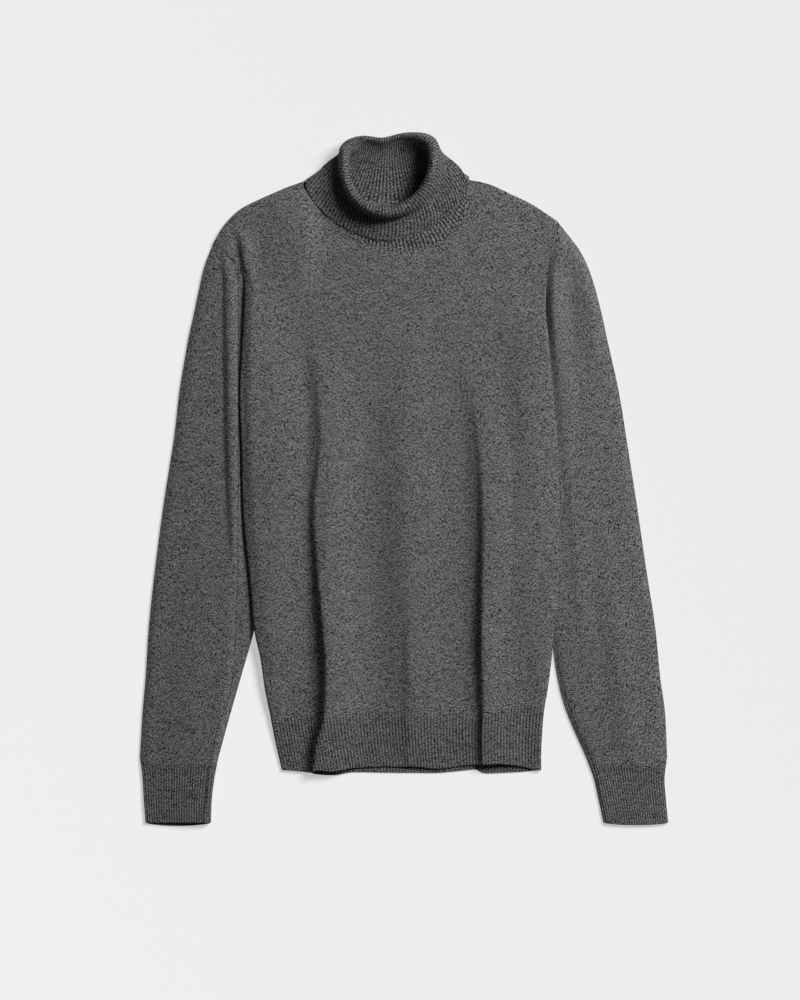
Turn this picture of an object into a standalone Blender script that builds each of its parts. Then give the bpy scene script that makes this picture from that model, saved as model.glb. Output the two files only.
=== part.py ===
"""Turtleneck sweater, laid flat on its back with the sleeves down beside the body.

Tables are in millimetres: across is X, to the right; up is Y, towards the collar; Z is height above
the table. Every piece is a knitted wall: a grid of points on the middle of the cloth, given its
thickness. The body's panels lie on each other, and its side edges ride over the tucked sleeves.
"""

import math
from collections import namedtuple

import bpy
import numpy as np

MM = 0.001

# Cloth
JERSEY = 1.5            # thickness of the plain knit
RIB = 1.9               # thickness of the ribbed knit
SEAM = 0.35             # gap between two pieces where they are linked together
LAYER = 0.7             # height between the body's two layers along their side seams
ROOM = 2.4              # empty height between the two layers of the body
NECK_ROOM = 0.25        # share of it that is left at the ends of the neckline
HEM_ROOM = 0.15         # share of it that is left at the hem
HEM_CLOSE = 70.0        # how far up from the hem it comes back
SLEEVE_ROOM = 2.6       # the same inside a sleeve
CUFF_ROOM = 1.2         # the same inside a cuff
EDGE_ROUND = 8.0        # how far in from a side edge the front layer is rounded down
CLEAR = 0.5             # height between the sleeve and the body that lies over it
LIFT_FULL = 9.0         # how far in from a sleeve's inner edge the body keeps its full lift
LIFT_RAMP = 60.0        # across which it comes down to the table from there

# Side edges of the body: height up, left edge, right edge. The last row is the underarm.
BODY_SIDES = (
    (-334, -134, 153),
    (-300, -142, 153),
    (-262, -149.5, 155.5),
    (-235, -155, 160),
    (-200, -160, 164.5),
    (-167, -167, 167),
    (-110, -172, 172),
    (-40, -179, 173),
    (35, -181, 171),
    (95, -183, 166),
    (156, -180, 161),
)
# Armhole seam from the underarm to the tip of the shoulder: left across, up; right across, up
ARMHOLES = (
    (-180, 156, 161, 156),
    (-178, 201, 158, 186),
    (-179, 223, 158.5, 212),
    (-186, 239, 162, 236),
    (-195, 248, 165, 252),
    (-204, 257, 168.5, 270),
    (-213, 264, 172.5, 287),
)
# Where up an armhole the two layers of the body stop being rounded together, and over what height:
# left, right
ARMHOLE_OPENS = ((230, 14), (186, 28))
# Where up the body comes down from the tucked sleeves, and over what height: left, right
LIFT_FADES = ((198, 50), (185, 36))
# Shoulder from its tip to the neck: left across, up; right across, up
SHOULDERS = (
    (-213, 264, 172.5, 287),
    (-205, 278, 168, 291),
    (-195, 291, 161, 295.5),
    (-184, 301, 147, 305),
    (-172, 308, 136, 311),
    (-150, 318, 124, 316.5),
    (-128, 327, 97, 329),
    (-108.3, 334.0, 72.4, 334.0),
)
# Rib line and hem edges: across, top of the rib, front edge, back edge
RIB_TOP, FRONT_EDGE, BACK_EDGE = 1, 2, 3
HEM_LINES = (
    (-152, -258, -325.5, -324.5),
    (-135, -258, -325.5, -325),
    (-116, -257, -327, -326.5),
    (-105, -257, -328, -328.5),
    (-97, -257, -325.5, -330.4),
    (-77, -256, -327, -331.2),
    (-57, -252, -323.2, -328),
    (-20, -251, -321.6, -328.4),
    (12, -251, -321.6, -328.6),
    (38, -252, -324, -328.6),
    (67, -254, -320.4, -326),
    (80, -257, -319.4, -325),
    (90, -256, -319, -329),
    (110, -247, -318.5, -328.6),
    (132, -243, -321.6, -327.4),
    (147, -243, -325, -326),
    (156, -243, -326, -325.6),
)
# Sleeves: height up, left outer edge, left inner edge, right inner edge, right outer edge
LEFT_OUTER, LEFT_INNER, RIGHT_INNER, RIGHT_OUTER = 1, 2, 3, 4
SLEEVES = (
    (-311, -295, -208, 204, 294),
    (-260, -292, -194, 182, 291.5),
    (-220, -288.5, -182.5, 171.5, 286),
    (-165, -285, -167, 163, 280.5),
    (-100, -278, -153, 147, 270.5),
    (-25, -268, -146, 139, 259.5),
    (45, -257, -149, 141, 248.5),
    (100, -250.5, -160, 147, 239.5),
    (156, -241, -180, 161, 227),
)
# The sleeve's outer edge above the underarm: left across, up; right across, up
SLEEVE_HEADS = (
    (-241, 156, 227, 156),
    (-235.5, 181, 221, 184),
    (-229, 212, 210, 225),
    (-223, 238, 196.5, 255.5),
    (-213, 264, 172.5, 287),
)
# Cuffs, with the same columns
CUFFS = (
    (-311, -295, -208, 204, 294),
    (-334, -292.2, -212.5, 212.5, 291),
    (-358, -290.8, -215.5, 218, 292.5),
    (-384, -288.8, -216.5, 223.5, 295),
)
# Folds and soft ridges of the front; the first two are long folds. Each: its name, across what it
# rises on its left side and falls again on its right side, then rows of height up, across, height of
# its crest
RIDGE_ACROSS, RIDGE_CREST = 1, 2
FRONT_RIDGES = (
    ("left fold", 9.0, 60.0, (
        (-332, -102, 11.0), (-297, -98, 12.5), (-262, -89, 14.0), (-200, -88, 14.5), (-120, -95, 13.0),
        (-60, -99.5, 10.5), (-25, -100, 9.5), (45, -93, 8.0), (100, -96, 5.0), (150, -100, 1.5),
        (185, -102, 0.0),
    )),
    ("right fold", 9.0, 54.0, (
        (-332, 88, 8.0), (-297, 87, 9.5), (-262, 88, 11.0), (-200, 87.5, 12.0), (-120, 88, 12.5),
        (-25, 90, 10.0), (45, 84, 6.5), (100, 77, 3.5), (150, 71, 0.5), (165, 69, 0.0),
    )),
    ("left hump", 24.0, 42.0, (
        (-332, -138, 0.0), (-230, -146, 1.5), (-135, -152, 3.0), (0, -155, 3.6), (120, -154, 2.6),
        (200, -150, 0.0),
    )),
    ("middle ridge", 40.0, 50.0, (
        (-332, 12, 1.0), (-290, 12, 3.0), (-230, 11, 5.0), (-130, 6, 6.6), (-20, 4, 6.6), (70, 3, 4.4),
        (140, 0, 1.5), (190, 0, 0.0),
    )),
)
# Collar rings, from the neck seam up the stand, over the roll and down the turned-down layer. Each
# is a loop round the neck's centre: heights of its left and right ends up from that centre, half
# widths to the left and right, reaches to the front and back, lean of its front to the right, heights
# above the table from the left, round its front to the right, and on round its back to the left, how
# quickly it turns from its sides to its front and back, squareness of its front and back, and how
# much of the lobes its back has
NECK_CENTRE = (-18.0, 338.0)
Ring = namedtuple("Ring", "up_left up_right left right front back lean z_left z_front_left z_front "
                          "z_front_right z_right z_back_right z_back z_back_left turn square_front "
                          "square_back lobes")
COLLAR_RINGS = tuple(Ring(*row) for row in (
    (-2, -2, 89.5, 89.5, 83, -28, 17, 2.6, 5.2, 5.2, 5.2, 2.6, 1.1, 1.1, 1.1, 0.25, 2, 2, 0),
    (3, 3, 76, 78, 75, -19, 12, 4.5, 5.6, 5.6, 5.6, 4.2, 3, 3, 3, 0.35, 2, 2, 0),
    (10, 10, 65, 66, 68, -3, 6, 7.4, 7.0, 6.8, 7.0, 7.4, 5.6, 5.4, 5.2, 0.6, 2, 2, 0),
    (16, 16, 51.5, 54, 58, 12, 0, 12, 12.5, 12, 12.5, 14, 12, 9.5, 9, 0.9, 2, 2.5, 0.3),
    (14.5, 14.5, 43.5, 45, 48.5, 25.5, -3, 22, 26, 25.5, 26, 29, 25, 15.5, 14, 1, 2, 3, 1),
    (14.5, 14.5, 49.2, 51, 54, 31, -3, 30, 36, 36, 35, 37, 33, 22, 18.5, 1, 2, 3.6, 1),
    (20.5, 20.5, 53.7, 56.5, 66.5, 27, -3, 23, 29, 29.5, 27.5, 26, 22, 14, 12, 1, 2, 3.8, 1),
    (21, 19.5, 56, 63.5, 67.4, 13, -1, 14.5, 15, 14, 13, 12.5, 8, 5, 4.5, 0.8, 2, 3, 0.5),
    (14, 12.2, 71.6, 78.5, 72, 0, 0, 8.8, 9.8, 10, 9.6, 7.8, 1.1, 1.1, 1.1, 0.4, 1.85, 2, 0),
    (-3.7, 0.2, 93, 91, 69.3, 1, 2, 6.1, 8.2, 8.8, 8.5, 5.4, 1.1, 1.1, 1.1, 0.15, 1.7, 2, 0),
))
LOBE_DIP = 4.5          # how far the middle of the collar's back dips between its two lobes
LOBE_MIDDLE = -6.0      # where it dips, across from the neck's centre
LOBE_WIDE = 16.0        # how wide the dip is
LOBE_TILT = 2.6         # how much higher its right lobe is than its middle
COLLAR_ROWS = (0, 1, 2, 3, 3.6, 4, 4.5, 5, 5.5, 6, 7, 8, 9)
COLLAR_COLUMNS = 36
NECK_MARGIN = 0.8       # from the collar's neck seam to the panels' neckline
ARMHOLE_GAP = 1.5       # the same at the armholes
NECK_PRESS = 25.0       # round each end of the neckline, where the layers are pressed together

# Grids. Columns of a body panel, across a body of this width, dense at its folds and edges
BODY_WIDTH = 340.0
FOLD_COLUMNS = (85.0, 258.0)
NECK_COLUMNS = (85.0, 245.0)
FRONT_COLUMNS = (
    0, 2, 5, 10, 20, 35, 50, 65, 75, 79, 82, 85, 88, 93, 102, 117, 135, 154, 171, 188,
    205, 220, 231, 238, 242, 245, 251, 254.5, 258, 262, 268, 278, 292, 306, 322, 332, 337, 340,
)
BACK_COLUMNS = (
    0, 4, 12, 24, 38, 54, 70, 85, 89, 98, 112, 130, 153, 177, 200, 218, 232, 241, 245, 262, 280,
    298, 314, 327, 336, 340,
)
YOKE_UP = 212.0         # where the front's yoke starts at its side edges
NECK_SPLIT = 38.0       # degrees: where the front neckline turns from its sides to its foot
FOLLOW_END = 150.0      # how far up the front's columns run along its folds
FOLLOW_OVER = 60.0      # and over what height they come back to their own places
FRONT_ROWS = (0, 0.08, 0.16, 0.24, 0.32, 0.40, 0.48, 0.56, 0.64, 0.72, 0.80, 0.88, 0.95, 1)
YOKE_ROWS = (0, 0.2, 0.4, 0.6, 0.78, 0.9, 0.97, 1)
BACK_ROWS = (0, 0.10, 0.19, 0.26, 0.33, 0.42, 0.51, 0.60, 0.68, 0.75, 0.81, 0.86, 0.90, 0.93, 0.965, 1)
HEM_ROWS = (0, 0.5, 1)
SLEEVE_ROWS = (0, 0.08, 0.17, 0.27, 0.38, 0.49, 0.60, 0.70, 0.78, 0.86, 0.93, 0.97, 1)
CUFF_ROWS = (0, 0.33, 0.66, 1)
TUBE_FLAT = 6           # columns on each flat side of a sleeve
TUBE_ROUND = 3          # steps round each edge of a sleeve
DENSE = 161             # samples along an edge that a grid is read from
SHARP_ANGLE = 60.0      # degrees between two faces from which their edge is sharp

MATERIALS = {
    "jersey": ((0.080, 0.077, 0.079), 0.92),
    "rib": ((0.066, 0.064, 0.066), 0.92),
}


def smooth(share):
    share = np.clip(share, 0.0, 1.0)
    return share * share * (3.0 - 2.0 * share)


def spline(points, per_span=12):
    """A Catmull-Rom curve through the points."""
    points = np.asarray(points, float)
    ends = np.vstack([2 * points[0] - points[1], points, 2 * points[-1] - points[-2]])
    share = np.linspace(0, 1, per_span, endpoint=False)[:, None]
    runs = []
    for before, start, stop, after in zip(ends, ends[1:], ends[2:], ends[3:]):
        runs.append(
            0.5 * (2 * start + (stop - before) * share
                   + (2 * before - 5 * start + 4 * stop - after) * share**2
                   + (3 * start - before - 3 * stop + after) * share**3)
        )
    return np.vstack(runs + [points[-1:]])


def along(curve, fractions):
    """Points at these fractions of a curve's length."""
    steps = np.linalg.norm(np.diff(curve, axis=0), axis=1)
    length = np.concatenate([[0], np.cumsum(steps)])
    places = np.asarray(fractions) * length[-1]
    return np.stack([np.interp(places, length, curve[:, k]) for k in (0, 1)], axis=1)


def patch(bottom, top, left, right):
    """The plan of a panel between its four edges, each (n, 2) and evenly sampled: (rows, columns, 2)."""
    across = np.linspace(0, 1, len(bottom))[None, :, None]
    up = np.linspace(0, 1, len(left))[:, None, None]
    ruled = (1 - up) * bottom[None] + up * top[None]
    ruled = ruled + (1 - across) * left[:, None] + across * right[:, None]
    corners = (1 - across) * (1 - up) * bottom[0] + across * (1 - up) * bottom[-1]
    corners = corners + (1 - across) * up * top[0] + across * up * top[-1]
    return ruled - corners


def resample(plan, columns, rows):
    """Points of a dense plan at these shares across (one list for each row) and up."""
    shares = np.linspace(0, 1, plan.shape[1])
    ups = np.linspace(0, 1, plan.shape[0])
    picked = []
    for row, up in enumerate(rows):
        place = np.interp(up, ups, np.arange(len(ups)))
        low = min(int(place), len(ups) - 2)
        line = plan[low] + (place - low) * (plan[low + 1] - plan[low])
        picked.append(np.stack([np.interp(columns[row], shares, line[:, k]) for k in (0, 1)], 1))
    return np.stack(picked)


def column(table, index):
    return np.array([row[index] for row in table], float)


def at_height(table, index, up):
    """A column of a table whose first column is the height up, read at any height."""
    heights = column(table, 0)
    order = np.argsort(heights)
    return np.interp(up, heights[order], column(table, index)[order])


def fold_height(across, up):
    """How far the front's folds and ridges lift it."""
    total = 0.0
    for _, rise, fall, rows in FRONT_RIDGES:
        past = across - at_height(rows, RIDGE_ACROSS, up)
        left = smooth(1 + past / rise)
        right = 0.5 * (1 + np.cos(np.pi * np.clip(past / fall, 0, 1)))
        total = total + at_height(rows, RIDGE_CREST, up) * left * right
    return total


def sleeve_lift(across, up):
    """How far the body's back layer is lifted by the sleeves tucked under its side edges."""
    height = 2 * JERSEY + SLEEVE_ROOM + CLEAR
    left, right = (at_height(SLEEVES, inner, up) for inner in (LEFT_INNER, RIGHT_INNER))
    beyond = left - across, across - right
    shares = [
        smooth(1 + (past + LIFT_FULL) / LIFT_RAMP) * (1 - smooth((up - start) / over))
        for past, (start, over) in zip(beyond, LIFT_FADES)
    ]
    return height * np.maximum(*shares)


def neck_press(plan):
    """1 away from the neckline's ends, 0 at them."""
    ends = [np.array(SHOULDERS[-1][:2]), np.array(SHOULDERS[-1][2:])]
    near = np.min([np.linalg.norm(plan - end, axis=-1) for end in ends], axis=0)
    return smooth(near / NECK_PRESS)


def back_height(plan, wall):
    return wall / 2 + sleeve_lift(plan[..., 0], plan[..., 1])


def front_height(plan, wall, from_edge):
    """Middle of the front layer: rounded down to the back layer at its side edges."""
    inside = np.clip(from_edge / EDGE_ROUND, 0, 1)
    closed_hem = 1 - smooth((plan[..., 1] - HEM_LINES[0][FRONT_EDGE]) / HEM_CLOSE)
    share = np.sqrt(1 - (1 - inside) ** 2) * (NECK_ROOM + (1 - NECK_ROOM) * neck_press(plan))
    share = share * (1 - (1 - HEM_ROOM) * closed_hem)
    folds = fold_height(plan[..., 0], plan[..., 1]) * smooth(from_edge / (2 * EDGE_ROUND))
    return back_height(plan, wall) + wall + LAYER + (ROOM - LAYER) * share + folds


def collar_ring(ring, angles):
    """Points of one collar ring; 0 is its right side, -90 degrees its front."""
    cos, sin = np.cos(angles), np.sin(angles)
    behind = sin > 0
    power = 2.0 / np.where(behind, ring.square_back, ring.square_front)
    half_width = np.where(cos < 0, ring.left, ring.right)
    across = half_width * np.sign(cos) * np.abs(cos) ** power
    level = (ring.up_left + ring.up_right) / 2 + (ring.up_right - ring.up_left) / 2 * across / half_width
    up = level + np.where(behind, ring.back, ring.front) * np.sign(sin) * np.abs(sin) ** power
    lobes = LOBE_TILT * across / half_width - LOBE_DIP * np.exp(-((across - LOBE_MIDDLE) / LOBE_WIDE) ** 2)
    up = up + ring.lobes * smooth(2 * sin) * lobes
    across = across + ring.lean * np.clip(-sin, 0, 1)
    turned = math.sqrt(2) * cos
    left_share, right_share = smooth(-turned), smooth(turned)
    front = ring.z_front + (ring.z_front_left - ring.z_front) * left_share
    front = front + (ring.z_front_right - ring.z_front) * right_share
    back = ring.z_back + (ring.z_back_left - ring.z_back) * left_share
    back = back + (ring.z_back_right - ring.z_back) * right_share
    side = np.where(cos < 0, ring.z_left, ring.z_right)
    height = side + (np.where(behind, back, front) - side) * smooth(np.abs(sin) / ring.turn)
    return np.stack([NECK_CENTRE[0] + across, NECK_CENTRE[1] + up, height], axis=-1)


def neckline(start, stop):
    """The panels' neckline between two angles, just outside the collar's first ring."""
    angles = np.radians(np.linspace(start, stop, 41))
    points = collar_ring(COLLAR_RINGS[0], angles)[:, :2]
    tangent = np.gradient(points, axis=0)
    outward = np.stack([tangent[:, 1], -tangent[:, 0]], axis=1)
    outward /= np.linalg.norm(outward, axis=1)[:, None]
    if points[-1, 0] < points[0, 0]:
        outward = -outward
    moved = points + NECK_MARGIN * outward
    for end, angle in ((0, start), (-1, stop)):
        if abs(angle) == 180:
            moved[end] = SHOULDERS[-1][:2]
        if angle == 0:
            moved[end] = SHOULDERS[-1][2:]
    return moved


def side_curve(side):
    """A side edge of the body, from below its hem to the tip of the shoulder: 1 left, 2 right."""
    low = [(row[side], row[0]) for row in BODY_SIDES]
    high = [row[:2] if side == 1 else row[2:] for row in ARMHOLES[1:]]
    return spline(low + high)


def even(curve):
    return along(curve, np.linspace(0, 1, DENSE))


def straight(start, stop):
    return start + np.linspace(0, 1, DENSE)[:, None] * (stop - start)


def joined(curves, columns):
    """Curves end to end, each over its own share of a panel's columns, sampled evenly."""
    shares = np.linspace(0, 1, DENSE)
    limits = np.array([0, *columns, BODY_WIDTH]) / BODY_WIDTH
    parts = []
    for curve, first, last in zip(curves, limits, limits[1:]):
        inside = (shares >= first) & ((shares < last) | (last == 1))
        parts.append(along(curve, (shares[inside] - first) / (last - first)))
    return np.vstack(parts)


def shoulder(side):
    return spline([row[:2] if side == 1 else row[2:] for row in SHOULDERS])


def between(curve, low, high):
    """The part of a rising curve between two heights."""
    inside = (curve[:, 1] > low) & (curve[:, 1] < high)
    ends = [[np.interp(up, curve[:, 1], curve[:, 0]), up] for up in (low, high)]
    return even(np.vstack([ends[:1], curve[inside], ends[1:]]))


def rib_line(across, column_index, shift):
    rows = np.array(HEM_LINES, float)
    return np.interp(across, rows[:, 0], rows[:, column_index]) + shift


def hem_corner(side, column_index, shift):
    """Height up where a side edge of the body meets the rib line or a hem edge."""
    curve = side_curve(side)
    return np.interp(0, curve[:, 1] - rib_line(curve[:, 0], column_index, shift), curve[:, 1])


def edge_line(left, right, column_index, shift):
    """The rib line or a hem edge, between two points across."""
    across = np.linspace(left, right, DENSE)
    return np.stack([across, rib_line(across, column_index, shift)], axis=1)


def panel_edges():
    """The side edges of a body panel above its rib, and its foot along the rib line."""
    tips = ((1, SHOULDERS[0][1]), (2, SHOULDERS[0][3]))
    left, right = (
        between(side_curve(side), hem_corner(side, RIB_TOP, SEAM / 2), tip) for side, tip in tips
    )
    foot = edge_line(left[0, 0], right[0, 0], RIB_TOP, SEAM / 2)
    left[0], right[0] = foot[0], foot[-1]
    return left, right, foot


def back_plan():
    left, right, foot = panel_edges()
    top = joined([shoulder(1), neckline(180, 0), shoulder(2)[::-1]], NECK_COLUMNS)
    top[0], top[-1] = left[-1], right[-1]
    columns = np.asarray(BACK_COLUMNS, float) / BODY_WIDTH
    plan = resample(patch(foot, top, left, right), [columns] * len(BACK_ROWS), BACK_ROWS)
    return plan, np.ones((plan.shape[0] - 1, plan.shape[1] - 1), bool)


def cut_at(curve, up):
    """A side edge in two, at this height."""
    place = int(np.argmin(np.abs(curve[:, 1] - up)))
    return even(curve[:place + 1]), even(curve[place:])


def front_plan():
    """The front in one grid: below, its whole width; above, a yoke on each side of the neckline."""
    left, right, bottom = panel_edges()
    (left, left_yoke), (right, right_yoke) = cut_at(left, YOKE_UP), cut_at(right, YOKE_UP)
    foot = neckline(-180 + NECK_SPLIT, -NECK_SPLIT)
    bands = [straight(left[-1], foot[0]), foot, straight(foot[-1], right[-1])]
    middle = joined(bands, NECK_COLUMNS)
    columns = np.asarray(FRONT_COLUMNS, float) / BODY_WIDTH
    lower = patch(bottom, middle, left, right)
    lower = resample(lower, [follow_folds(lower, columns, row) for row in FRONT_ROWS], FRONT_ROWS)
    first, last = (FRONT_COLUMNS.index(place) for place in NECK_COLUMNS)
    plan = np.full((len(FRONT_ROWS) + len(YOKE_ROWS) - 1, len(columns), 2), np.nan)
    plan[:len(FRONT_ROWS)] = lower
    neck_left, neck_right = even(neckline(-180 + NECK_SPLIT, -180)), even(neckline(-NECK_SPLIT, 0))
    yokes = (
        (bands[0], even(shoulder(1)), left_yoke, neck_left, slice(0, first + 1)),
        (bands[2], even(shoulder(2)[::-1]), neck_right, right_yoke, slice(last, len(columns))),
    )
    for below, above, edge_left, edge_right, span in yokes:
        picked = columns[span]
        shares = (picked - picked[0]) / (picked[-1] - picked[0])
        yoke = resample(patch(below, above, edge_left, edge_right), [shares] * len(YOKE_ROWS), YOKE_ROWS)
        plan[len(FRONT_ROWS):, span] = yoke[1:]
    cells = np.ones((plan.shape[0] - 1, plan.shape[1] - 1), bool)
    cells[len(FRONT_ROWS) - 1:, first:last] = False
    return plan, cells


def follow_folds(plan, columns, share_up):
    """Shift the columns so that they run along the folds, as far up as the folds go."""
    line = plan[int(round(share_up * (DENSE - 1)))]
    shares = np.linspace(0, 1, DENSE)
    anchors = [place / BODY_WIDTH for place in FOLD_COLUMNS]
    placed = []
    for anchor, (_, _, _, rows) in zip(anchors, FRONT_RIDGES):
        past = line[:, 0] - at_height(rows, RIDGE_ACROSS, line[:, 1])
        wanted = np.interp(0, past, shares)
        hold = smooth((line[:, 1].mean() - FOLLOW_END) / FOLLOW_OVER)
        placed.append(wanted + hold * (anchor - wanted))
    return np.interp(columns, [0, *anchors, 1], [0, *placed, 1])


def edge_distance(plan, shoulders):
    """How far each point of a body panel is from its side seams and shoulders."""
    sides = [np.linalg.norm(plan - edge, axis=2) for edge in (plan[:, :1], plan[:, -1:])]
    if not shoulders:
        return np.minimum(*sides)
    opened = [
        side + 2 * EDGE_ROUND * smooth((plan[..., 1] - opens) / over)
        for side, (opens, over) in zip(sides, ARMHOLE_OPENS)
    ]
    from_top = np.linalg.norm(plan - plan[-1:], axis=2)
    return np.fmin(np.minimum(*opened), from_top)


def hem_plan(edge_column, columns, follow):
    """Plan of a hem rib, from its lower edge to the rib line."""
    sides = [
        between(side_curve(side), hem_corner(side, edge_column, 0), hem_corner(side, RIB_TOP, -SEAM / 2))
        for side in (1, 2)
    ]
    bottom = edge_line(sides[0][0, 0], sides[1][0, 0], edge_column, 0)
    top = edge_line(sides[0][-1, 0], sides[1][-1, 0], RIB_TOP, -SEAM / 2)
    for side, end in zip(sides, (0, -1)):
        side[0], side[-1] = bottom[end], top[end]
    plan = patch(bottom, top, sides[0], sides[1])
    columns = np.asarray(columns, float) / BODY_WIDTH
    if not follow:
        return resample(plan, [columns] * len(HEM_ROWS), HEM_ROWS)
    return resample(plan, [follow_folds(plan, columns, row) for row in HEM_ROWS], HEM_ROWS)


def flat_section(width, wall, room):
    """Round a flattened tube's middle surface: shares from its outer to its inner edge, heights."""
    radius = (wall + room) / 2
    turn = np.linspace(0, math.pi, TUBE_ROUND + 1)
    flat = np.linspace(0, 1, TUBE_FLAT + 1)[1:-1]
    inner, outer = width - radius, radius
    over = outer + flat * (inner - outer)
    shares = np.concatenate([
        over, inner + radius * np.sin(turn), over[::-1], outer - radius * np.sin(turn),
    ])
    heights = np.concatenate([
        np.full(len(flat), radius), radius * np.cos(turn), np.full(len(flat), -radius),
        -radius * np.cos(turn),
    ])
    return shares / width, heights + radius + wall / 2


def tube(plan, rows, wall, room):
    """A flattened tube over a dense plan: (rows, columns round it, 3)."""
    rings = []
    for up in rows:
        line = plan[int(round(up * (plan.shape[0] - 1)))]
        width = np.linalg.norm(np.diff(line, axis=0), axis=1).sum()
        shares, heights = flat_section(width, wall, room)
        rings.append(np.column_stack([along(line, shares), heights]))
    return np.stack(rings)


def sleeve_plan(left_side):
    """Plan of a sleeve, each row from its outer to its inner edge, from the cuff to the armhole."""
    outer_column, inner_column = (LEFT_OUTER, LEFT_INNER) if left_side else (RIGHT_OUTER, RIGHT_INNER)
    pair = 0 if left_side else 2
    sign = -1 if left_side else 1
    outer = [(row[outer_column], row[0]) for row in SLEEVES]
    outer += [(row[pair], row[pair + 1]) for row in SLEEVE_HEADS[1:]]
    inner = [(row[inner_column], row[0]) for row in SLEEVES]
    seam = spline([(row[pair], row[pair + 1]) for row in ARMHOLES[::-1]])
    seam = seam + np.array([sign * ARMHOLE_GAP, -SEAM])
    outer, inner = spline(outer), spline(inner)
    outer[-1], inner[-1] = seam[0], seam[-1]
    shares = np.linspace(0, 1, DENSE)
    outer, inner, seam = (along(edge, shares) for edge in (outer, inner, seam))
    wrist = outer[0] + shares[:, None] * (inner[0] - outer[0]) + np.array([0, 2 * SEAM])
    outer[0], inner[0] = wrist[0], wrist[-1]
    return patch(wrist, seam, outer, inner)


def cuff_plan(left_side):
    outer_column, inner_column = (LEFT_OUTER, LEFT_INNER) if left_side else (RIGHT_OUTER, RIGHT_INNER)
    shares = np.linspace(0, 1, DENSE)
    edges = [along(spline([(row[k], row[0]) for row in CUFFS[::-1]]), shares)
             for k in (outer_column, inner_column)]
    lines = [edges[0][end] + shares[:, None] * (edges[1][end] - edges[0][end]) for end in (0, -1)]
    return patch(lines[0], lines[1], edges[0], edges[1])


def collar_grid():
    angles = np.linspace(0, 2 * math.pi, COLLAR_COLUMNS, endpoint=False)
    rings = np.stack([collar_ring(ring, angles) for ring in COLLAR_RINGS])
    before = 2 * rings[0] - rings[1]
    after = 2 * rings[-1] - rings[-2]
    rings = np.concatenate([before[None], rings, after[None]])
    rows = []
    for place in COLLAR_ROWS:
        low = min(int(place), len(COLLAR_RINGS) - 2)
        share = place - low
        p0, p1, p2, p3 = rings[low:low + 4]
        rows.append(0.5 * (2 * p1 + (p2 - p0) * share + (2 * p0 - 5 * p1 + 4 * p2 - p3) * share**2
                           + (3 * p1 - p0 - 3 * p2 + p3) * share**3))
    return np.stack(rows)


def slopes(grid, axis):
    """Differences along a grid, one-sided where it ends or has no neighbour."""
    step = np.diff(grid, axis=axis)
    first, last = np.take(step, [0], axis), np.take(step, [-1], axis)
    before = np.concatenate([first, step], axis=axis)
    after = np.concatenate([step, last], axis=axis)
    before = np.where(np.isnan(before), after, before)
    after = np.where(np.isnan(after), before, after)
    return before + after


def normals_of(grid, closed):
    """Unit normals of a grid of points, whose columns may close round."""
    if closed:
        across = np.roll(grid, -1, axis=1) - np.roll(grid, 1, axis=1)
    else:
        across = slopes(grid, 1)
    normal = np.cross(across, slopes(grid, 0))
    return normal / np.linalg.norm(normal, axis=2)[..., None]


def knitted_wall(name, grid, wall, material, closed=False, cells=None):
    """One closed object: the grid's points, moved out by half the wall to each side, where it has cells."""
    normal = normals_of(grid, closed)
    rows, columns = grid.shape[:2]
    if cells is None:
        cells = np.ones((rows - 1, columns if closed else columns - 1), bool)
    points = np.concatenate([
        (grid + normal * wall / 2).reshape(-1, 3), (grid - normal * wall / 2).reshape(-1, 3),
    ])
    under = rows * columns
    faces = []
    for i, j in zip(*np.nonzero(cells)):
        k = (j + 1) % columns
        ring = [i * columns + j, i * columns + k, (i + 1) * columns + k, (i + 1) * columns + j]
        faces.append(ring)
        faces.append([corner + under for corner in reversed(ring)])
        beside = ((i - 1, j), (i, j + 1), (i + 1, j), (i, j - 1))
        for side, (row, cell) in enumerate(beside):
            if closed:
                cell = cell % columns
            inside = 0 <= row < cells.shape[0] and 0 <= cell < cells.shape[1]
            if not (inside and cells[row, cell]):
                start, stop = ring[side], ring[(side + 1) % 4]
                faces.append([stop, start, start + under, stop + under])
    used = sorted({corner for face in faces for corner in face})
    place = {corner: number for number, corner in enumerate(used)}
    mesh = bpy.data.meshes.new(name)
    mesh.from_pydata((points[used] * MM).tolist(), [], [[place[c] for c in face] for face in faces])
    mesh.validate()
    mesh.shade_smooth()
    mesh.set_sharp_from_angle(angle=math.radians(SHARP_ANGLE))
    mesh.materials.append(material)
    obj = bpy.data.objects.new(name, mesh)
    bpy.context.scene.collection.objects.link(obj)
    return obj


def make_material(name):
    colour, roughness = MATERIALS[name]
    material = bpy.data.materials.new(name)
    material.use_nodes = True
    shader = material.node_tree.nodes["Principled BSDF"]
    shader.inputs["Base Color"].default_value = (*colour, 1)
    shader.inputs["Roughness"].default_value = roughness
    shader.inputs["Metallic"].default_value = 0.0
    material.diffuse_color = (*colour, 1)
    return material


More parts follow.
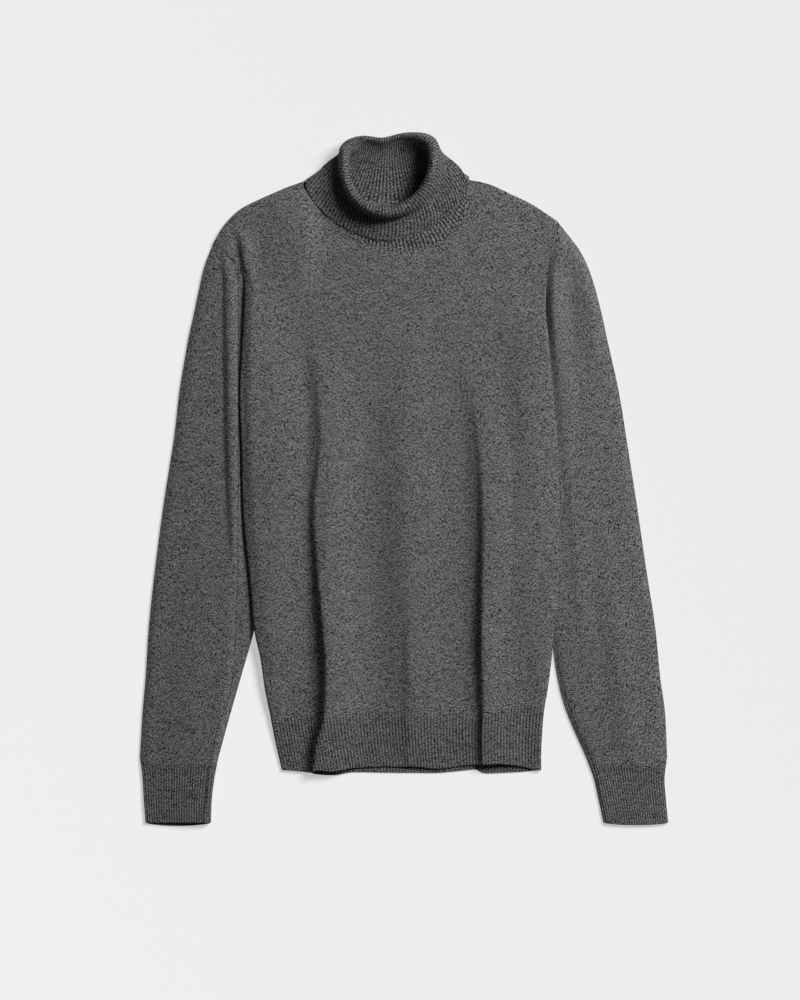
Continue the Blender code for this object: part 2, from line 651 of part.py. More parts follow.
def build():
    for obj in list(bpy.data.objects):
        bpy.data.objects.remove(obj)
    jersey, rib = make_material("jersey"), make_material("rib")

    plan, cells = back_plan()
    grid = np.dstack([plan, back_height(plan, JERSEY)])
    knitted_wall("back", grid, JERSEY, jersey, cells=cells)

    plan, cells = front_plan()
    grid = np.dstack([plan, front_height(plan, JERSEY, edge_distance(plan, True))])
    knitted_wall("front", grid, JERSEY, jersey, cells=cells)

    plan = hem_plan(BACK_EDGE, BACK_COLUMNS, False)
    grid = np.dstack([plan, back_height(plan, RIB)])
    knitted_wall("hem_back", grid, RIB, rib)

    plan = hem_plan(FRONT_EDGE, FRONT_COLUMNS, True)
    grid = np.dstack([plan, front_height(plan, RIB, edge_distance(plan, False))])
    knitted_wall("hem_front", grid, RIB, rib)

    for side, left_side in (("left", True), ("right", False)):
        grid = tube(sleeve_plan(left_side), SLEEVE_ROWS, JERSEY, SLEEVE_ROOM)
        grid = grid if left_side else grid[:, ::-1]
        knitted_wall("sleeve_" + side, grid, JERSEY, jersey, closed=True)
        grid = tube(cuff_plan(left_side), CUFF_ROWS, RIB, CUFF_ROOM)
        grid = grid if left_side else grid[:, ::-1]
        knitted_wall("cuff_" + side, grid, RIB, rib, closed=True)

    knitted_wall("collar", collar_grid(), RIB, rib, closed=True)


build()
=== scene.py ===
"""Turtleneck sweater in charcoal heather, laid flat on its back: the looks.

Tables are in millimetres: across is X, to the right; up is Y, towards the collar; Z is height above
the table. Each piece is a thin knitted shell: a fine grid of points on the middle of the cloth,
moved out to both sides by half the cloth's thickness and by the relief of its ribs.
"""

import math
from collections import namedtuple

import bpy
import numpy as np
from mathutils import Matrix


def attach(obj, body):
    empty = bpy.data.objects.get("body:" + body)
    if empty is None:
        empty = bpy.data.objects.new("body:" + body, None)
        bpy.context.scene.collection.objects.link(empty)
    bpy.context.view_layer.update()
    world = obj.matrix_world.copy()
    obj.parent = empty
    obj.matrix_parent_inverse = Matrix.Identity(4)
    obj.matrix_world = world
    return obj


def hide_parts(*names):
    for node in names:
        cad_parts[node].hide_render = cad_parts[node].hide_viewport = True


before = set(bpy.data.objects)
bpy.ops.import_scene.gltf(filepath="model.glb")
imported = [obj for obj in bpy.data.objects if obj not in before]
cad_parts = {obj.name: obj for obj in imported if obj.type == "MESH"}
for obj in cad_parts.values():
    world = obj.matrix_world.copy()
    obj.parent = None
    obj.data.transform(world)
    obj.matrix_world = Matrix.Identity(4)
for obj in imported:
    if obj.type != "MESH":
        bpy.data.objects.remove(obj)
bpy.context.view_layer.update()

MM = 0.001

# Cloth
JERSEY = 1.5            # thickness of the plain knit
RIB = 1.9               # thickness of the ribbed knit
RIB_EDGE = 1.2          # thickness of the collar's free edge
RIB_TAPER = 15.0        # along which the ribs of a hem or cuff grow out of the plain knit
STAND_TAPER = 5.0       # the same at the foot of the collar
EDGE_THIN = 12.0        # along which the collar thins towards that edge
ROOM = 2.4              # empty height between the two layers of the body
NECK_ROOM = 0.25        # share of it that is left at the ends of the neckline
HEM_ROOM = 0.15         # share of it that is left at the hem
HEM_CLOSE = 70.0        # how far up from the hem it comes back
SLEEVE_ROOM = 2.6       # empty height inside a sleeve
CUFF_ROOM = 0.5         # the same inside a cuff
CUFF_CLOSE = 20.0       # along which a cuff comes down to it from the sleeve
SLEEVE_EDGE_ROOM = 0.1  # the same at the folded edges of sleeves and cuffs
SLEEVE_SLOPE = 11.0     # how far in from its edges a sleeve rises to its full height
EDGE_PROUD = 0.4        # how far the cloth stands out past the outer edges of sleeves and cuffs
EDGE_PRESS = 0.55       # how much thinner the cloth is along the folded edges of sleeves and cuffs
EDGE_PRESS_WIDE = 5.0   # and how far in from them
CLEAR = 0.5             # height between the sleeve and the body that lies over it
LIFT_FULL = 9.0         # how far in from a sleeve's inner edge the body keeps its full lift
LIFT_RAMP = 60.0        # across which it comes down to the table from there
LIFT_FADES = ((198.0, 50.0), (160.0, 52.0))  # where up it ends, and over what height: left, right
ROUND = 4.6             # how far in from a side seam the two layers are rounded towards each other
FOLD_FADE = 14.0        # how far in from there the front's folds reach their full height
SNAP = 2.2              # how quickly the sharp side of a fold falls away
SHARP = math.radians(75)  # an edge between faces that turn by more than this isn't shaded round
SEAM = 0.1              # gap at a linked seam
RIGHT_FAINT = 0.15      # added to the distance from the right armhole seam, whose painted shadow is fainter there, on the side towards the lamp
NO_SEAM = 50.0          # distance given where no seam is near

# Ribs: how many round or across each ribbed piece, samples on each, depth of the valleys
HEM_RIBS = 84
CUFF_RIBS = 56
COLLAR_RIBS = 94
RIB_SAMPLES = 6
RIB_DEPTH = 0.58
RIB_PITCH = 3.6         # of the ribs as knitted, for their stitches

# Side edges of the body: height up, left edge, right edge. The last row is the underarm.
BODY_SIDES = (
    (-334, -134, 153),
    (-300, -142, 153),
    (-262, -149.5, 155.5),
    (-235, -155, 160),
    (-200, -160, 164.5),
    (-167, -167, 167),
    (-110, -172, 172),
    (-40, -179, 173),
    (35, -181, 171),
    (95, -183, 166),
    (156, -180, 161),
)
# Armhole seam from the underarm to the tip of the shoulder: left across, up; right across, up
ARMHOLES = (
    (-180, 156, 161, 156),
    (-178, 201, 158, 186),
    (-179, 223, 158.5, 212),
    (-186, 239, 162, 236),
    (-195, 248, 165, 252),
    (-204, 257, 168.5, 270),
    (-213, 264, 172.5, 287),
)
# Where up an armhole the two layers of the body stop being rounded together, and over what height:
# left, right
ARMHOLE_OPENS = ((230, 14), (186, 28))
# Shoulder from its tip to the neck: left across, up; right across, up
SHOULDERS = (
    (-213, 264, 172.5, 287),
    (-205, 278, 168, 291),
    (-195, 291, 161, 295.5),
    (-184, 301, 147, 305),
    (-172, 308, 136, 311),
    (-150, 318, 124, 316.5),
    (-128, 327, 97, 329),
    (-108.3, 334.0, 72.4, 334.0),
)
# Rib line and hem edges: across, top of the rib, front edge, back edge
RIB_TOP, FRONT_EDGE, BACK_EDGE = 1, 2, 3
HEM_LINES = (
    (-152, -258, -325.5, -324.5),
    (-135, -258, -325.5, -325),
    (-116, -257, -327, -326.5),
    (-105, -257, -328, -328.5),
    (-97, -257, -325.5, -330.4),
    (-77, -256, -327, -331.2),
    (-57, -252, -323.2, -328),
    (-20, -251, -321.6, -328.4),
    (12, -251, -321.6, -328.6),
    (38, -252, -324, -328.6),
    (67, -254, -320.4, -326),
    (80, -257, -319.4, -325),
    (90, -256, -319, -329),
    (110, -247, -318.5, -328.6),
    (132, -243, -321.6, -327.4),
    (147, -243, -325, -326),
    (156, -243, -326, -325.6),
)
# Sleeves: height up, left outer edge, left inner edge, right inner edge, right outer edge
LEFT_OUTER, LEFT_INNER, RIGHT_INNER, RIGHT_OUTER = 1, 2, 3, 4
SLEEVES = (
    (-311, -295, -208, 204, 294),
    (-260, -292, -194, 182, 291.5),
    (-220, -288.5, -182.5, 171.5, 286),
    (-165, -285, -167, 163, 280.5),
    (-100, -278, -153, 147, 270.5),
    (-25, -268, -146, 139, 259.5),
    (45, -257, -149, 141, 248.5),
    (100, -250.5, -160, 147, 239.5),
    (156, -241, -180, 161, 227),
)
# The sleeve's outer edge above the underarm: left across, up; right across, up
SLEEVE_HEADS = (
    (-241, 156, 227, 156),
    (-235.5, 181, 221, 184),
    (-229, 212, 210, 225),
    (-223, 238, 196.5, 255.5),
    (-213, 264, 172.5, 287),
)
# Cuffs, with the same columns
CUFFS = (
    (-311, -295, -208, 204, 294),
    (-334, -292.2, -212.5, 212.5, 291),
    (-358, -290.8, -215.5, 218, 292.5),
    (-384, -288.8, -216.5, 223.5, 295),
)
# Folds and soft ridges. Each: its name, how far it rises on its left side, how far it falls on its
# right side, how sharp its crest is, then rows of height up, across, height of the crest
RIDGE_ACROSS, RIDGE_CREST = 1, 2
FRONT_RIDGES = (
    ("left fold", 7.5, 60.0, 1.0, (
        (-332, -102, 8.6), (-297, -98, 11.0), (-283, -94, 12.0), (-262, -89, 12.5), (-200, -88, 12.5),
        (-120, -95, 11.0), (-60, -99.5, 9.2), (-25, -100, 7.4), (45, -93, 4.4), (90, -96, 2.4),
        (140, -100, 0.0),
    )),
    ("right fold", 8.0, 54.0, 1.0, (
        (-332, 88, 7.0), (-297, 87, 8.5), (-262, 88, 10.0), (-200, 87, 12.5), (-120, 87, 12.0),
        (-25, 88, 7.0), (45, 83, 3.2), (100, 77, 1.2), (140, 72, 0.0),
    )),
    ("soft side of the left fold", 17.0, 50.0, 0.0, (
        (-332, -98, 1.6), (-262, -90, 2.6), (-160, -92, 2.4), (-80, -98, 1.2), (-10, -94, 3.0),
        (60, -92, 4.4), (115, -95, 3.8), (150, -98, 1.8), (185, -101, 0.0),
    )),
    ("back of the left fold", 16.0, 40.0, 0.0, (
        (70, -80, 0.0), (30, -80, 1.4), (-10, -80.5, 2.6), (-50, -83, 3.4), (-90, -84, 2.2),
        (-140, -84, 0.0),
    )),
    ("left hump", 24.0, 42.0, 0.0, (
        (-332, -138, 0.0), (-230, -146, 1.5), (-135, -152, 3.0), (0, -155, 3.6), (120, -154, 2.6),
        (200, -150, 0.0),
    )),
    ("middle ridge", 40.0, 50.0, 0.0, (
        (-332, 12, 1.0), (-290, 12, 3.0), (-230, 11, 5.0), (-130, 6, 6.6), (-20, 4, 6.6), (70, 3, 4.4),
        (140, 0, 1.5), (190, 0, 0.0),
    )),
    ("soft side of the right fold", 22.0, 42.0, 0.0, (
        (-332, 84, 0.5), (-230, 84, 1.5), (-100, 85, 2.6), (0, 86, 3.8), (60, 81, 3.8), (105, 76, 2.4),
        (140, 71, 0.8), (165, 68, 0.0),
    )),
    ("foot of the middle ridge", 10.0, 26.0, 0.0, (
        (-332, 7, 0.0), (-305, 6, 1.2), (-230, 5, 1.9), (-160, 5, 1.3), (-90, 5, 0.0),
    )),
    ("right ridge", 20.0, 44.0, 0.0, (
        (-332, 128, 0.6), (-220, 134, 1.4), (-150, 138, 2.6), (0, 139, 3.4), (90, 137, 2.4),
        (160, 133, 0.0),
    )),
    ("left armhole fold", 3.0, 22.0, 1.0, (
        (205, -177, 4.0), (223, -177.5, 5.0), (240, -178.6, 5.4), (251, -180, 5.4), (264, -182.5, 4.4),
        (280, -187.5, 2.0), (292, -192, 0.0),
    )),
    ("left shoulder", 80.0, 30.0, 0.0, (
        (185, -120, 0.0), (220, -118, 4.2), (250, -115, 7.0), (275, -114, 7.6), (300, -118, 5.4),
        (318, -122, 2.0), (330, -124, 0.0),
    )),
    ("left shoulder dip", 14.0, 14.0, 0.0, (
        (225, -195, 0.0), (250, -197, 0.8), (275, -197, 0.8), (295, -190, 0.0),
    )),
)
LEFT_SLEEVE_RIDGES = (
    ("fall to the outer edge", 78.0, 9.0, 0.0, (
        (-388, -217, 5.0), (-330, -214, 5.0), (-260, -204, 4.2), (-150, -194, 3.2), (0, -190.5, 2.0),
        (150, -191.5, 2.0), (225, -196, 1.2), (256, -201, 0.0),
    )),
    ("ridge beside the body", 5.8, 9.0, 0.0, (
        (-165, -181, 0.0), (-114, -185, 1.0), (-86, -189.4, 2.0), (-22, -193.4, 3.7), (36, -195.6, 4.3),
        (130, -196.8, 4.3), (218, -197.6, 4.1), (240, -199, 2.8), (258, -201, 0.0),
    )),
    ("its side along the body", 9.5, 3.5, 0.0, (
        (-90, -183, 0.0), (-22, -185.8, 2.7), (36, -188, 3.8), (130, -189, 3.9), (200, -189, 3.7),
        (222, -190, 2.4), (236, -192, 0.0),
    )),
    ("forearm", 34.0, 30.0, 0.0, (
        (-330, -250, 0.0), (-280, -246, 1.2), (-200, -236, 1.8), (-120, -226, 1.2), (-40, -220, 0.0),
    )),
)
RIGHT_SLEEVE_RIDGES = (
    ("ridge beside the body", 9.0, 24.0, 0.2, (
        (-220, 204, 0.0), (-185, 199, 0.8), (-135, 195, 1.5), (-80, 192, 1.6), (-23, 188, 1.5),
        (33, 181, 1.7), (89, 176.5, 2.9), (145, 170.5, 5.2), (182, 167.5, 8.0), (212, 167, 7.0),
        (240, 169.5, 4.4), (262, 175, 2.0), (278, 181, 0.0),
    )),
    ("head of the sleeve", 26.0, 16.0, 0.0, (
        (120, 214, 0.0), (165, 212, 2.6), (215, 205, 3.8), (250, 195, 2.6), (275, 186, 0.0),
    )),
    ("forearm", 20.0, 28.0, 0.0, (
        (-345, 258, 0.0), (-285, 250, 2.2), (-210, 240, 2.8), (-130, 231, 1.6), (-40, 226, 0.0),
    )),
)
# Underarm seams, turned a little onto the upper side of the sleeves: height up, left, right
UNDERARM_SEAMS = (
    (-390, -225.5, 228),
    (-358, -222, 220.5),
    (-330, -219.2, 215),
    (-311, -216, 209),
    (-285, -210.5, 196.5),
    (-264, -203.5, 189.3),
    (-247, -197.5, 182.6),
    (-220, -191.7, 176),
    (-193, -190, 170),
    (-175, -189, 165.5),
    (-110, -186, 160),
)
UNDERARM_THIN = 1.4     # how much narrower than other seams it is
CUFF_LENGTH = 73.0
CUFF_GAPE = 0.2             # how much the upper side of a cuff stands off at its end
CUFF_GAPE_LENGTH = 14.0
UPPER_FROM = 2.0            # height above a wall's thickness from which cloth counts as the upper side
# What differs between the sleeves. The last two: how far the middle of the cuff's edge hangs below
# its ends, and how much shorter its upper side ends
Side = namedtuple("Side", "name number outer inner sign ridges cuff_bow cuff_short")
LEFT = Side("left", 1, LEFT_OUTER, LEFT_INNER, -1, LEFT_SLEEVE_RIDGES, 4.0, 3.9)
RIGHT = Side("right", 2, RIGHT_OUTER, RIGHT_INNER, 1, RIGHT_SLEEVE_RIDGES, 3.0, 0.0)
NECK_CENTRE = (-18.0, 338.0)
# Collar rings, from the neck seam up the stand, over the roll and down the turned-down layer. Each
# is a loop round the neck's centre: heights of its left and right ends up from that centre, half
# widths to the left and right, reaches to the front and back, lean of its front to the right, heights
# above the table from the left, round its front to the right, and on round its back to the left, how
# quickly it turns from its sides to its front and back, squareness of its front and back, how much of
# the lobes its back has, and ribs across its front half
Ring = namedtuple("Ring", "up_left up_right left right front back lean z_left z_front_left z_front "
                          "z_front_right z_right z_back_right z_back z_back_left turn square_front "
                          "square_back lobes ribs")
COLLAR_RINGS = tuple(Ring(*row) for row in (
    (-2, -2, 89.5, 89.5, 83, -28, 17, 2.6, 5.2, 5.2, 5.2, 2.6, 1.1, 1.1, 1.1, 0.25, 2, 2, 0, 57),
    (3, 3, 76, 78, 75, -19, 12, 4.5, 5.6, 5.6, 5.6, 3.9, 1.6, 1.6, 1.6, 0.35, 2, 2, 0, 56),
    (10, 10, 65, 66, 68, -3, 6, 6.4, 7.0, 6.8, 7.0, 7.4, 5, 4.6, 4.2, 0.6, 2, 2, 0, 54),
    (16, 16, 51.5, 54, 58, 12, 0, 10.5, 12.5, 12, 12.5, 14, 12, 9, 8, 0.9, 2, 2.5, 0.3, 50),
    (14.5, 14.5, 43.5, 45, 48.5, 25.5, -3, 21, 26, 25.5, 26, 29, 25, 14.5, 12, 1, 2, 3, 1, 46),
    (14.5, 14.5, 49.2, 51, 54, 31, -3, 28.5, 36, 36, 35, 37, 33, 20.5, 15.5, 1, 2, 3.6, 1, 45),
    (20.5, 20.5, 53.7, 56.5, 66.5, 27, -3, 21.5, 29, 29.5, 27.5, 26, 22, 13, 9.5, 1, 2, 3.8, 1, 47),
    (21, 19.5, 56, 63.5, 67.4, 13, -1, 11.5, 13, 12.6, 12, 11, 8, 5, 4.5, 0.8, 2, 3, 0.5, 50),
    (14, 12.2, 69.8, 78.5, 72, 0, 0, 7.2, 9.2, 10.4, 9.2, 6.4, 1.4, 1.4, 1.4, 0.4, 1.85, 2, 0, 54),
    (-3.7, 0.2, 93, 91, 69.3, 1, 2, 4.7, 6.8, 7.6, 7.3, 4.5, 1.1, 1.1, 1.1, 0.15, 1.7, 2, 0, 57),
))
LOBE_DIP = 4.5          # how far the middle of the collar's back dips between its two lobes
LOBE_MIDDLE = -6.0
LOBE_WIDE = 16.0
LOBE_TILT = 2.6         # how much higher its right lobe is than its middle
COLLAR_ROWS = 78
NECK_MARGIN = 0.4       # from the collar's neck seam to the panels' neckline
ARMHOLE_GAP = 0.4       # the same at the armholes
NECK_PRESS = 25.0       # round each end of the neckline, where the layers are pressed together

# Grids
BODY_WIDTH = 340.0
BACK_LENGTH = 560.0
FRONT_LENGTH = 470.0    # up to its yoke
YOKE_LENGTH = 90.0
HEM_LENGTH = 65.0
SLEEVE_LENGTH = 575.0
COLLAR_LENGTH = 110.0
PANEL_OFFSET = 500.0    # keeps each piece's place in its knit above nought
TUBE_OFFSET = 20.0
EDGE_PLACES = np.array([0.0, 0.12, 0.45, 1.0, 1.7, 2.5, 3.4])
FRONT_STEP = 2.3
BACK_STEP = 3.0
SLEEVE_STEP = 2.5
SLEEVE_COLUMNS = (48, 10)   # on each flat side of a sleeve, round each of its edges
CUFF_COLUMNS = (80, 20)
RIB_STEP = 2.2
NECK_COLUMNS = (85.0, 245.0)
YOKE_UP = 212.0         # where the front's yoke starts at its side edges
NECK_SPLIT = 38.0       # degrees: where the front neckline turns from its sides to its foot
DENSE = 401             # samples along an edge that a grid is read from

# View
FRAME_HEIGHT = 1120.0   # seen from top to bottom
VIEW_CENTRE = (-4.5, -23.0)
CAMERA_UP = 6000.0
SENSOR = 36.0


def smooth(share):
    share = np.clip(share, 0.0, 1.0)
    return share * share * (3.0 - 2.0 * share)


def spline(points, per_span=24):
    """A Catmull-Rom curve through the points."""
    points = np.asarray(points, float)
    ends = np.vstack([2 * points[0] - points[1], points, 2 * points[-1] - points[-2]])
    share = np.linspace(0, 1, per_span, endpoint=False)[:, None]
    runs = []
    for before, start, stop, after in zip(ends, ends[1:], ends[2:], ends[3:]):
        runs.append(
            0.5 * (2 * start + (stop - before) * share
                   + (2 * before - 5 * start + 4 * stop - after) * share**2
                   + (3 * start - before - 3 * stop + after) * share**3)
        )
    return np.vstack(runs + [points[-1:]])


def lengths(points, axis=0):
    """How far each point of a curve or grid is along one of its axes."""
    steps = np.linalg.norm(np.diff(points, axis=axis), axis=-1)
    none = np.zeros_like(np.take(steps, [0], axis))
    return np.concatenate([none, np.cumsum(steps, axis=axis)], axis=axis)


def points_at(wanted, known, points):
    """Points between those that are known at these values."""
    return np.stack([np.interp(wanted, known, points[:, k]) for k in range(points.shape[1])], axis=1)


def along(curve, fractions):
    """Points at these fractions of a curve's length."""
    length = lengths(curve)
    return points_at(np.asarray(fractions) * length[-1], length, curve)


def even(curve):
    return along(curve, np.linspace(0, 1, DENSE))


def straight(start, stop):
    return start + np.linspace(0, 1, DENSE)[:, None] * (stop - start)


def patch(bottom, top, left, right):
    """The plan of a panel between its four edges, each (n, 2) and evenly sampled: (rows, columns, 2)."""
    across = np.linspace(0, 1, len(bottom))[None, :, None]
    up = np.linspace(0, 1, len(left))[:, None, None]
    ruled = (1 - up) * bottom[None] + up * top[None]
    ruled = ruled + (1 - across) * left[:, None] + across * right[:, None]
    corners = (1 - across) * (1 - up) * bottom[0] + across * (1 - up) * bottom[-1]
    corners = corners + (1 - across) * up * top[0] + across * up * top[-1]
    return ruled - corners


def row_at(plan, up):
    """One row of a dense plan, at any share up it."""
    place = up * (plan.shape[0] - 1)
    low = min(int(place), plan.shape[0] - 2)
    return plan[low] + (place - low) * (plan[low + 1] - plan[low])


def resample(plan, columns, rows):
    """Points of a dense plan at these shares across and up."""
    shares = np.linspace(0, 1, plan.shape[1])
    return np.stack([points_at(columns, shares, row_at(plan, up)) for up in rows])


def places(length, step, fine_start=True, fine_stop=True):
    """Shares of a length, a step apart, closer together at the ends that are seams or edges."""
    first = EDGE_PLACES if fine_start else EDGE_PLACES[:1]
    last = length - (EDGE_PLACES[::-1] if fine_stop else EDGE_PLACES[:1])
    count = max(2, int(round((last[0] - first[-1]) / step)) + 1)
    return np.concatenate([first[:-1], np.linspace(first[-1], last[0], count), last[1:]]) / length


def read(rows, column, up):
    """A column of a table whose first column is the height up, read at any height on a smooth curve."""
    rows = sorted(rows)
    curve = spline([(row[0], row[column]) for row in rows])
    return np.interp(up, curve[:, 0], curve[:, 1])


def ridge_height(ridges, across, up):
    """How far folds and soft ridges lift the cloth."""
    total = np.zeros(np.broadcast(across, up).shape)
    for _, rise, fall, sharp, rows in ridges:
        past = across - read(rows, RIDGE_ACROSS, up)
        sharp_left = np.exp(np.minimum(past / rise, 0) * SNAP)
        soft_left = smooth(1 + past / rise)
        left = sharp * sharp_left + (1 - sharp) * soft_left
        right = 0.5 * (1 + np.cos(np.pi * np.clip(past / fall, 0, 1)))
        total = total + read(rows, RIDGE_CREST, up) * np.where(past < 0, left, right)
    return total


def sleeve_lift(across, up):
    """How far the body's back layer is lifted by the sleeves tucked under its side edges."""
    height = 2 * JERSEY + SLEEVE_ROOM + CLEAR
    left_fade, right_fade = (1 - smooth((up - start) / over) for start, over in LIFT_FADES)
    left = read(SLEEVES, LEFT_INNER, up) + LIFT_FULL + LIFT_RAMP - across
    right = across - read(SLEEVES, RIGHT_INNER, up) + LIFT_FULL + LIFT_RAMP
    left_share, right_share = smooth(left / LIFT_RAMP), smooth(right / LIFT_RAMP)
    return height * np.maximum(left_fade * left_share, right_fade * right_share)


def neck_press(plan):
    """1 away from the neckline's ends, 0 at them."""
    ends = [np.array(SHOULDERS[-1][:2]), np.array(SHOULDERS[-1][2:])]
    near = np.min([np.linalg.norm(plan - end, axis=-1) for end in ends], axis=0)
    return smooth(near / NECK_PRESS)


def rounded(distance):
    """0 at an edge where two layers meet, 1 from where they lie flat."""
    inside = np.clip(distance / ROUND, 0, 1)
    return np.sqrt(1 - (1 - inside) ** 2)


def body_heights(plan, wall, round_share):
    """Middle of the back layer and of the front layer before its folds. They meet at the side seams."""
    closed_hem = 1 - smooth((plan[..., 1] - HEM_LINES[0][FRONT_EDGE]) / HEM_CLOSE)
    room = ROOM * (NECK_ROOM + (1 - NECK_ROOM) * neck_press(plan)) * (1 - (1 - HEM_ROOM) * closed_hem)
    gap = wall + room
    flat_back = wall / 2 + sleeve_lift(plan[..., 0], plan[..., 1])
    join = flat_back + gap / 2
    return join - gap / 2 * round_share, join + gap / 2 * round_share


def collar_ring(ring, angles):
    """Points of one collar ring; 0 is its right side, -90 degrees its front."""
    cos, sin = np.cos(angles), np.sin(angles)
    behind = sin > 0
    power = 2.0 / np.where(behind, ring.square_back, ring.square_front)
    half_width = np.where(cos < 0, ring.left, ring.right)
    across = half_width * np.sign(cos) * np.abs(cos) ** power
    level = (ring.up_left + ring.up_right) / 2 + (ring.up_right - ring.up_left) / 2 * across / half_width
    up = level + np.where(behind, ring.back, ring.front) * np.sign(sin) * np.abs(sin) ** power
    lobes = LOBE_TILT * across / half_width - LOBE_DIP * np.exp(-((across - LOBE_MIDDLE) / LOBE_WIDE) ** 2)
    up = up + ring.lobes * smooth(2 * sin) * lobes
    across = across + ring.lean * np.clip(-sin, 0, 1)
    turned = math.sqrt(2) * cos
    left_share, right_share = smooth(-turned), smooth(turned)
    front, back = (
        middle + (left - middle) * left_share + (right - middle) * right_share
        for left, middle, right in (
            (ring.z_front_left, ring.z_front, ring.z_front_right),
            (ring.z_back_left, ring.z_back, ring.z_back_right),
        )
    )
    side = np.where(cos < 0, ring.z_left, ring.z_right)
    height = side + (np.where(behind, back, front) - side) * smooth(np.abs(sin) / ring.turn)
    return np.stack([NECK_CENTRE[0] + across, NECK_CENTRE[1] + up, height], axis=-1)


def neckline(start, stop):
    """The panels' neckline between two angles, just outside the collar's first ring."""
    angles = np.radians(np.linspace(start, stop, 121))
    points = collar_ring(COLLAR_RINGS[0], angles)[:, :2]
    tangent = np.gradient(points, axis=0)
    outward = np.stack([tangent[:, 1], -tangent[:, 0]], axis=1)
    outward /= np.linalg.norm(outward, axis=1)[:, None]
    if points[-1, 0] < points[0, 0]:
        outward = -outward
    moved = points + NECK_MARGIN * outward
    for end, angle in ((0, start), (-1, stop)):
        if abs(angle) == 180:
            moved[end] = SHOULDERS[-1][:2]
        if angle == 0:
            moved[end] = SHOULDERS[-1][2:]
    return moved


def one_side(rows, side):
    """Across and up, from a table that has them for both sides: 1 left, 2 right."""
    return [row[2 * side - 2:2 * side] for row in rows]


def side_curve(side):
    """A side edge of the body, from below its hem to the tip of the shoulder: 1 left, 2 right."""
    return spline([(row[side], row[0]) for row in BODY_SIDES] + one_side(ARMHOLES[1:], side))


def between(curve, low, high):
    """The part of a rising curve between two heights."""
    inside = (curve[:, 1] > low) & (curve[:, 1] < high)
    ends = [[np.interp(up, curve[:, 1], curve[:, 0]), up] for up in (low, high)]
    return even(np.vstack([ends[:1], curve[inside], ends[1:]]))


def hem_corner(side, column):
    """Where a side edge of the body meets the rib line or a hem edge."""
    curve = side_curve(side)
    gap = curve[:, 1] - rib_line(curve[:, 0], column)
    return curve[int(np.argmax(gap > 0)), 1]


def joined(curves, columns):
    """Curves end to end, each over its own share of a panel's columns, sampled evenly."""
    shares = np.linspace(0, 1, DENSE)
    limits = np.array([0, *columns, BODY_WIDTH]) / BODY_WIDTH
    parts = []
    for curve, first, last in zip(curves, limits, limits[1:]):
        inside = (shares >= first) & ((shares < last) | (last == 1))
        parts.append(along(curve, (shares[inside] - first) / (last - first)))
    return np.vstack(parts)


def shoulder(side):
    return spline(one_side(SHOULDERS, side))


def rib_line(across, column_index):
    curve = spline([(row[0], row[column_index]) for row in HEM_LINES])
    return np.interp(across, curve[:, 0], curve[:, 1])


def edge_line(left, right, column):
    """The rib line or a hem edge, between two points across."""
    across = np.linspace(left, right, DENSE)
    return np.stack([across, rib_line(across, column)], axis=1)


def panel_edges():
    """The side edges of a body panel above its rib, and its foot along the rib line."""
    tips = ((1, SHOULDERS[0][1]), (2, SHOULDERS[0][3]))
    left, right = (between(side_curve(side), hem_corner(side, RIB_TOP), tip) for side, tip in tips)
    foot = edge_line(left[0, 0], right[0, 0], RIB_TOP)
    left[0], right[0] = foot[0], foot[-1]
    return left, right, foot


def back_plan():
    left, right, foot = panel_edges()
    top = joined([shoulder(1), neckline(180, 0), shoulder(2)[::-1]], NECK_COLUMNS)
    top[0], top[-1] = left[-1], right[-1]
    columns = places(BODY_WIDTH, BACK_STEP)
    rows = places(BACK_LENGTH, BACK_STEP, fine_start=False)
    plan = resample(patch(foot, top, left, right), columns, rows)
    return plan, np.ones((plan.shape[0] - 1, plan.shape[1] - 1), bool)


def cut_at(curve, up):
    """A side edge in two, at this height."""
    place = int(np.argmin(np.abs(curve[:, 1] - up)))
    return even(curve[:place + 1]), even(curve[place:])


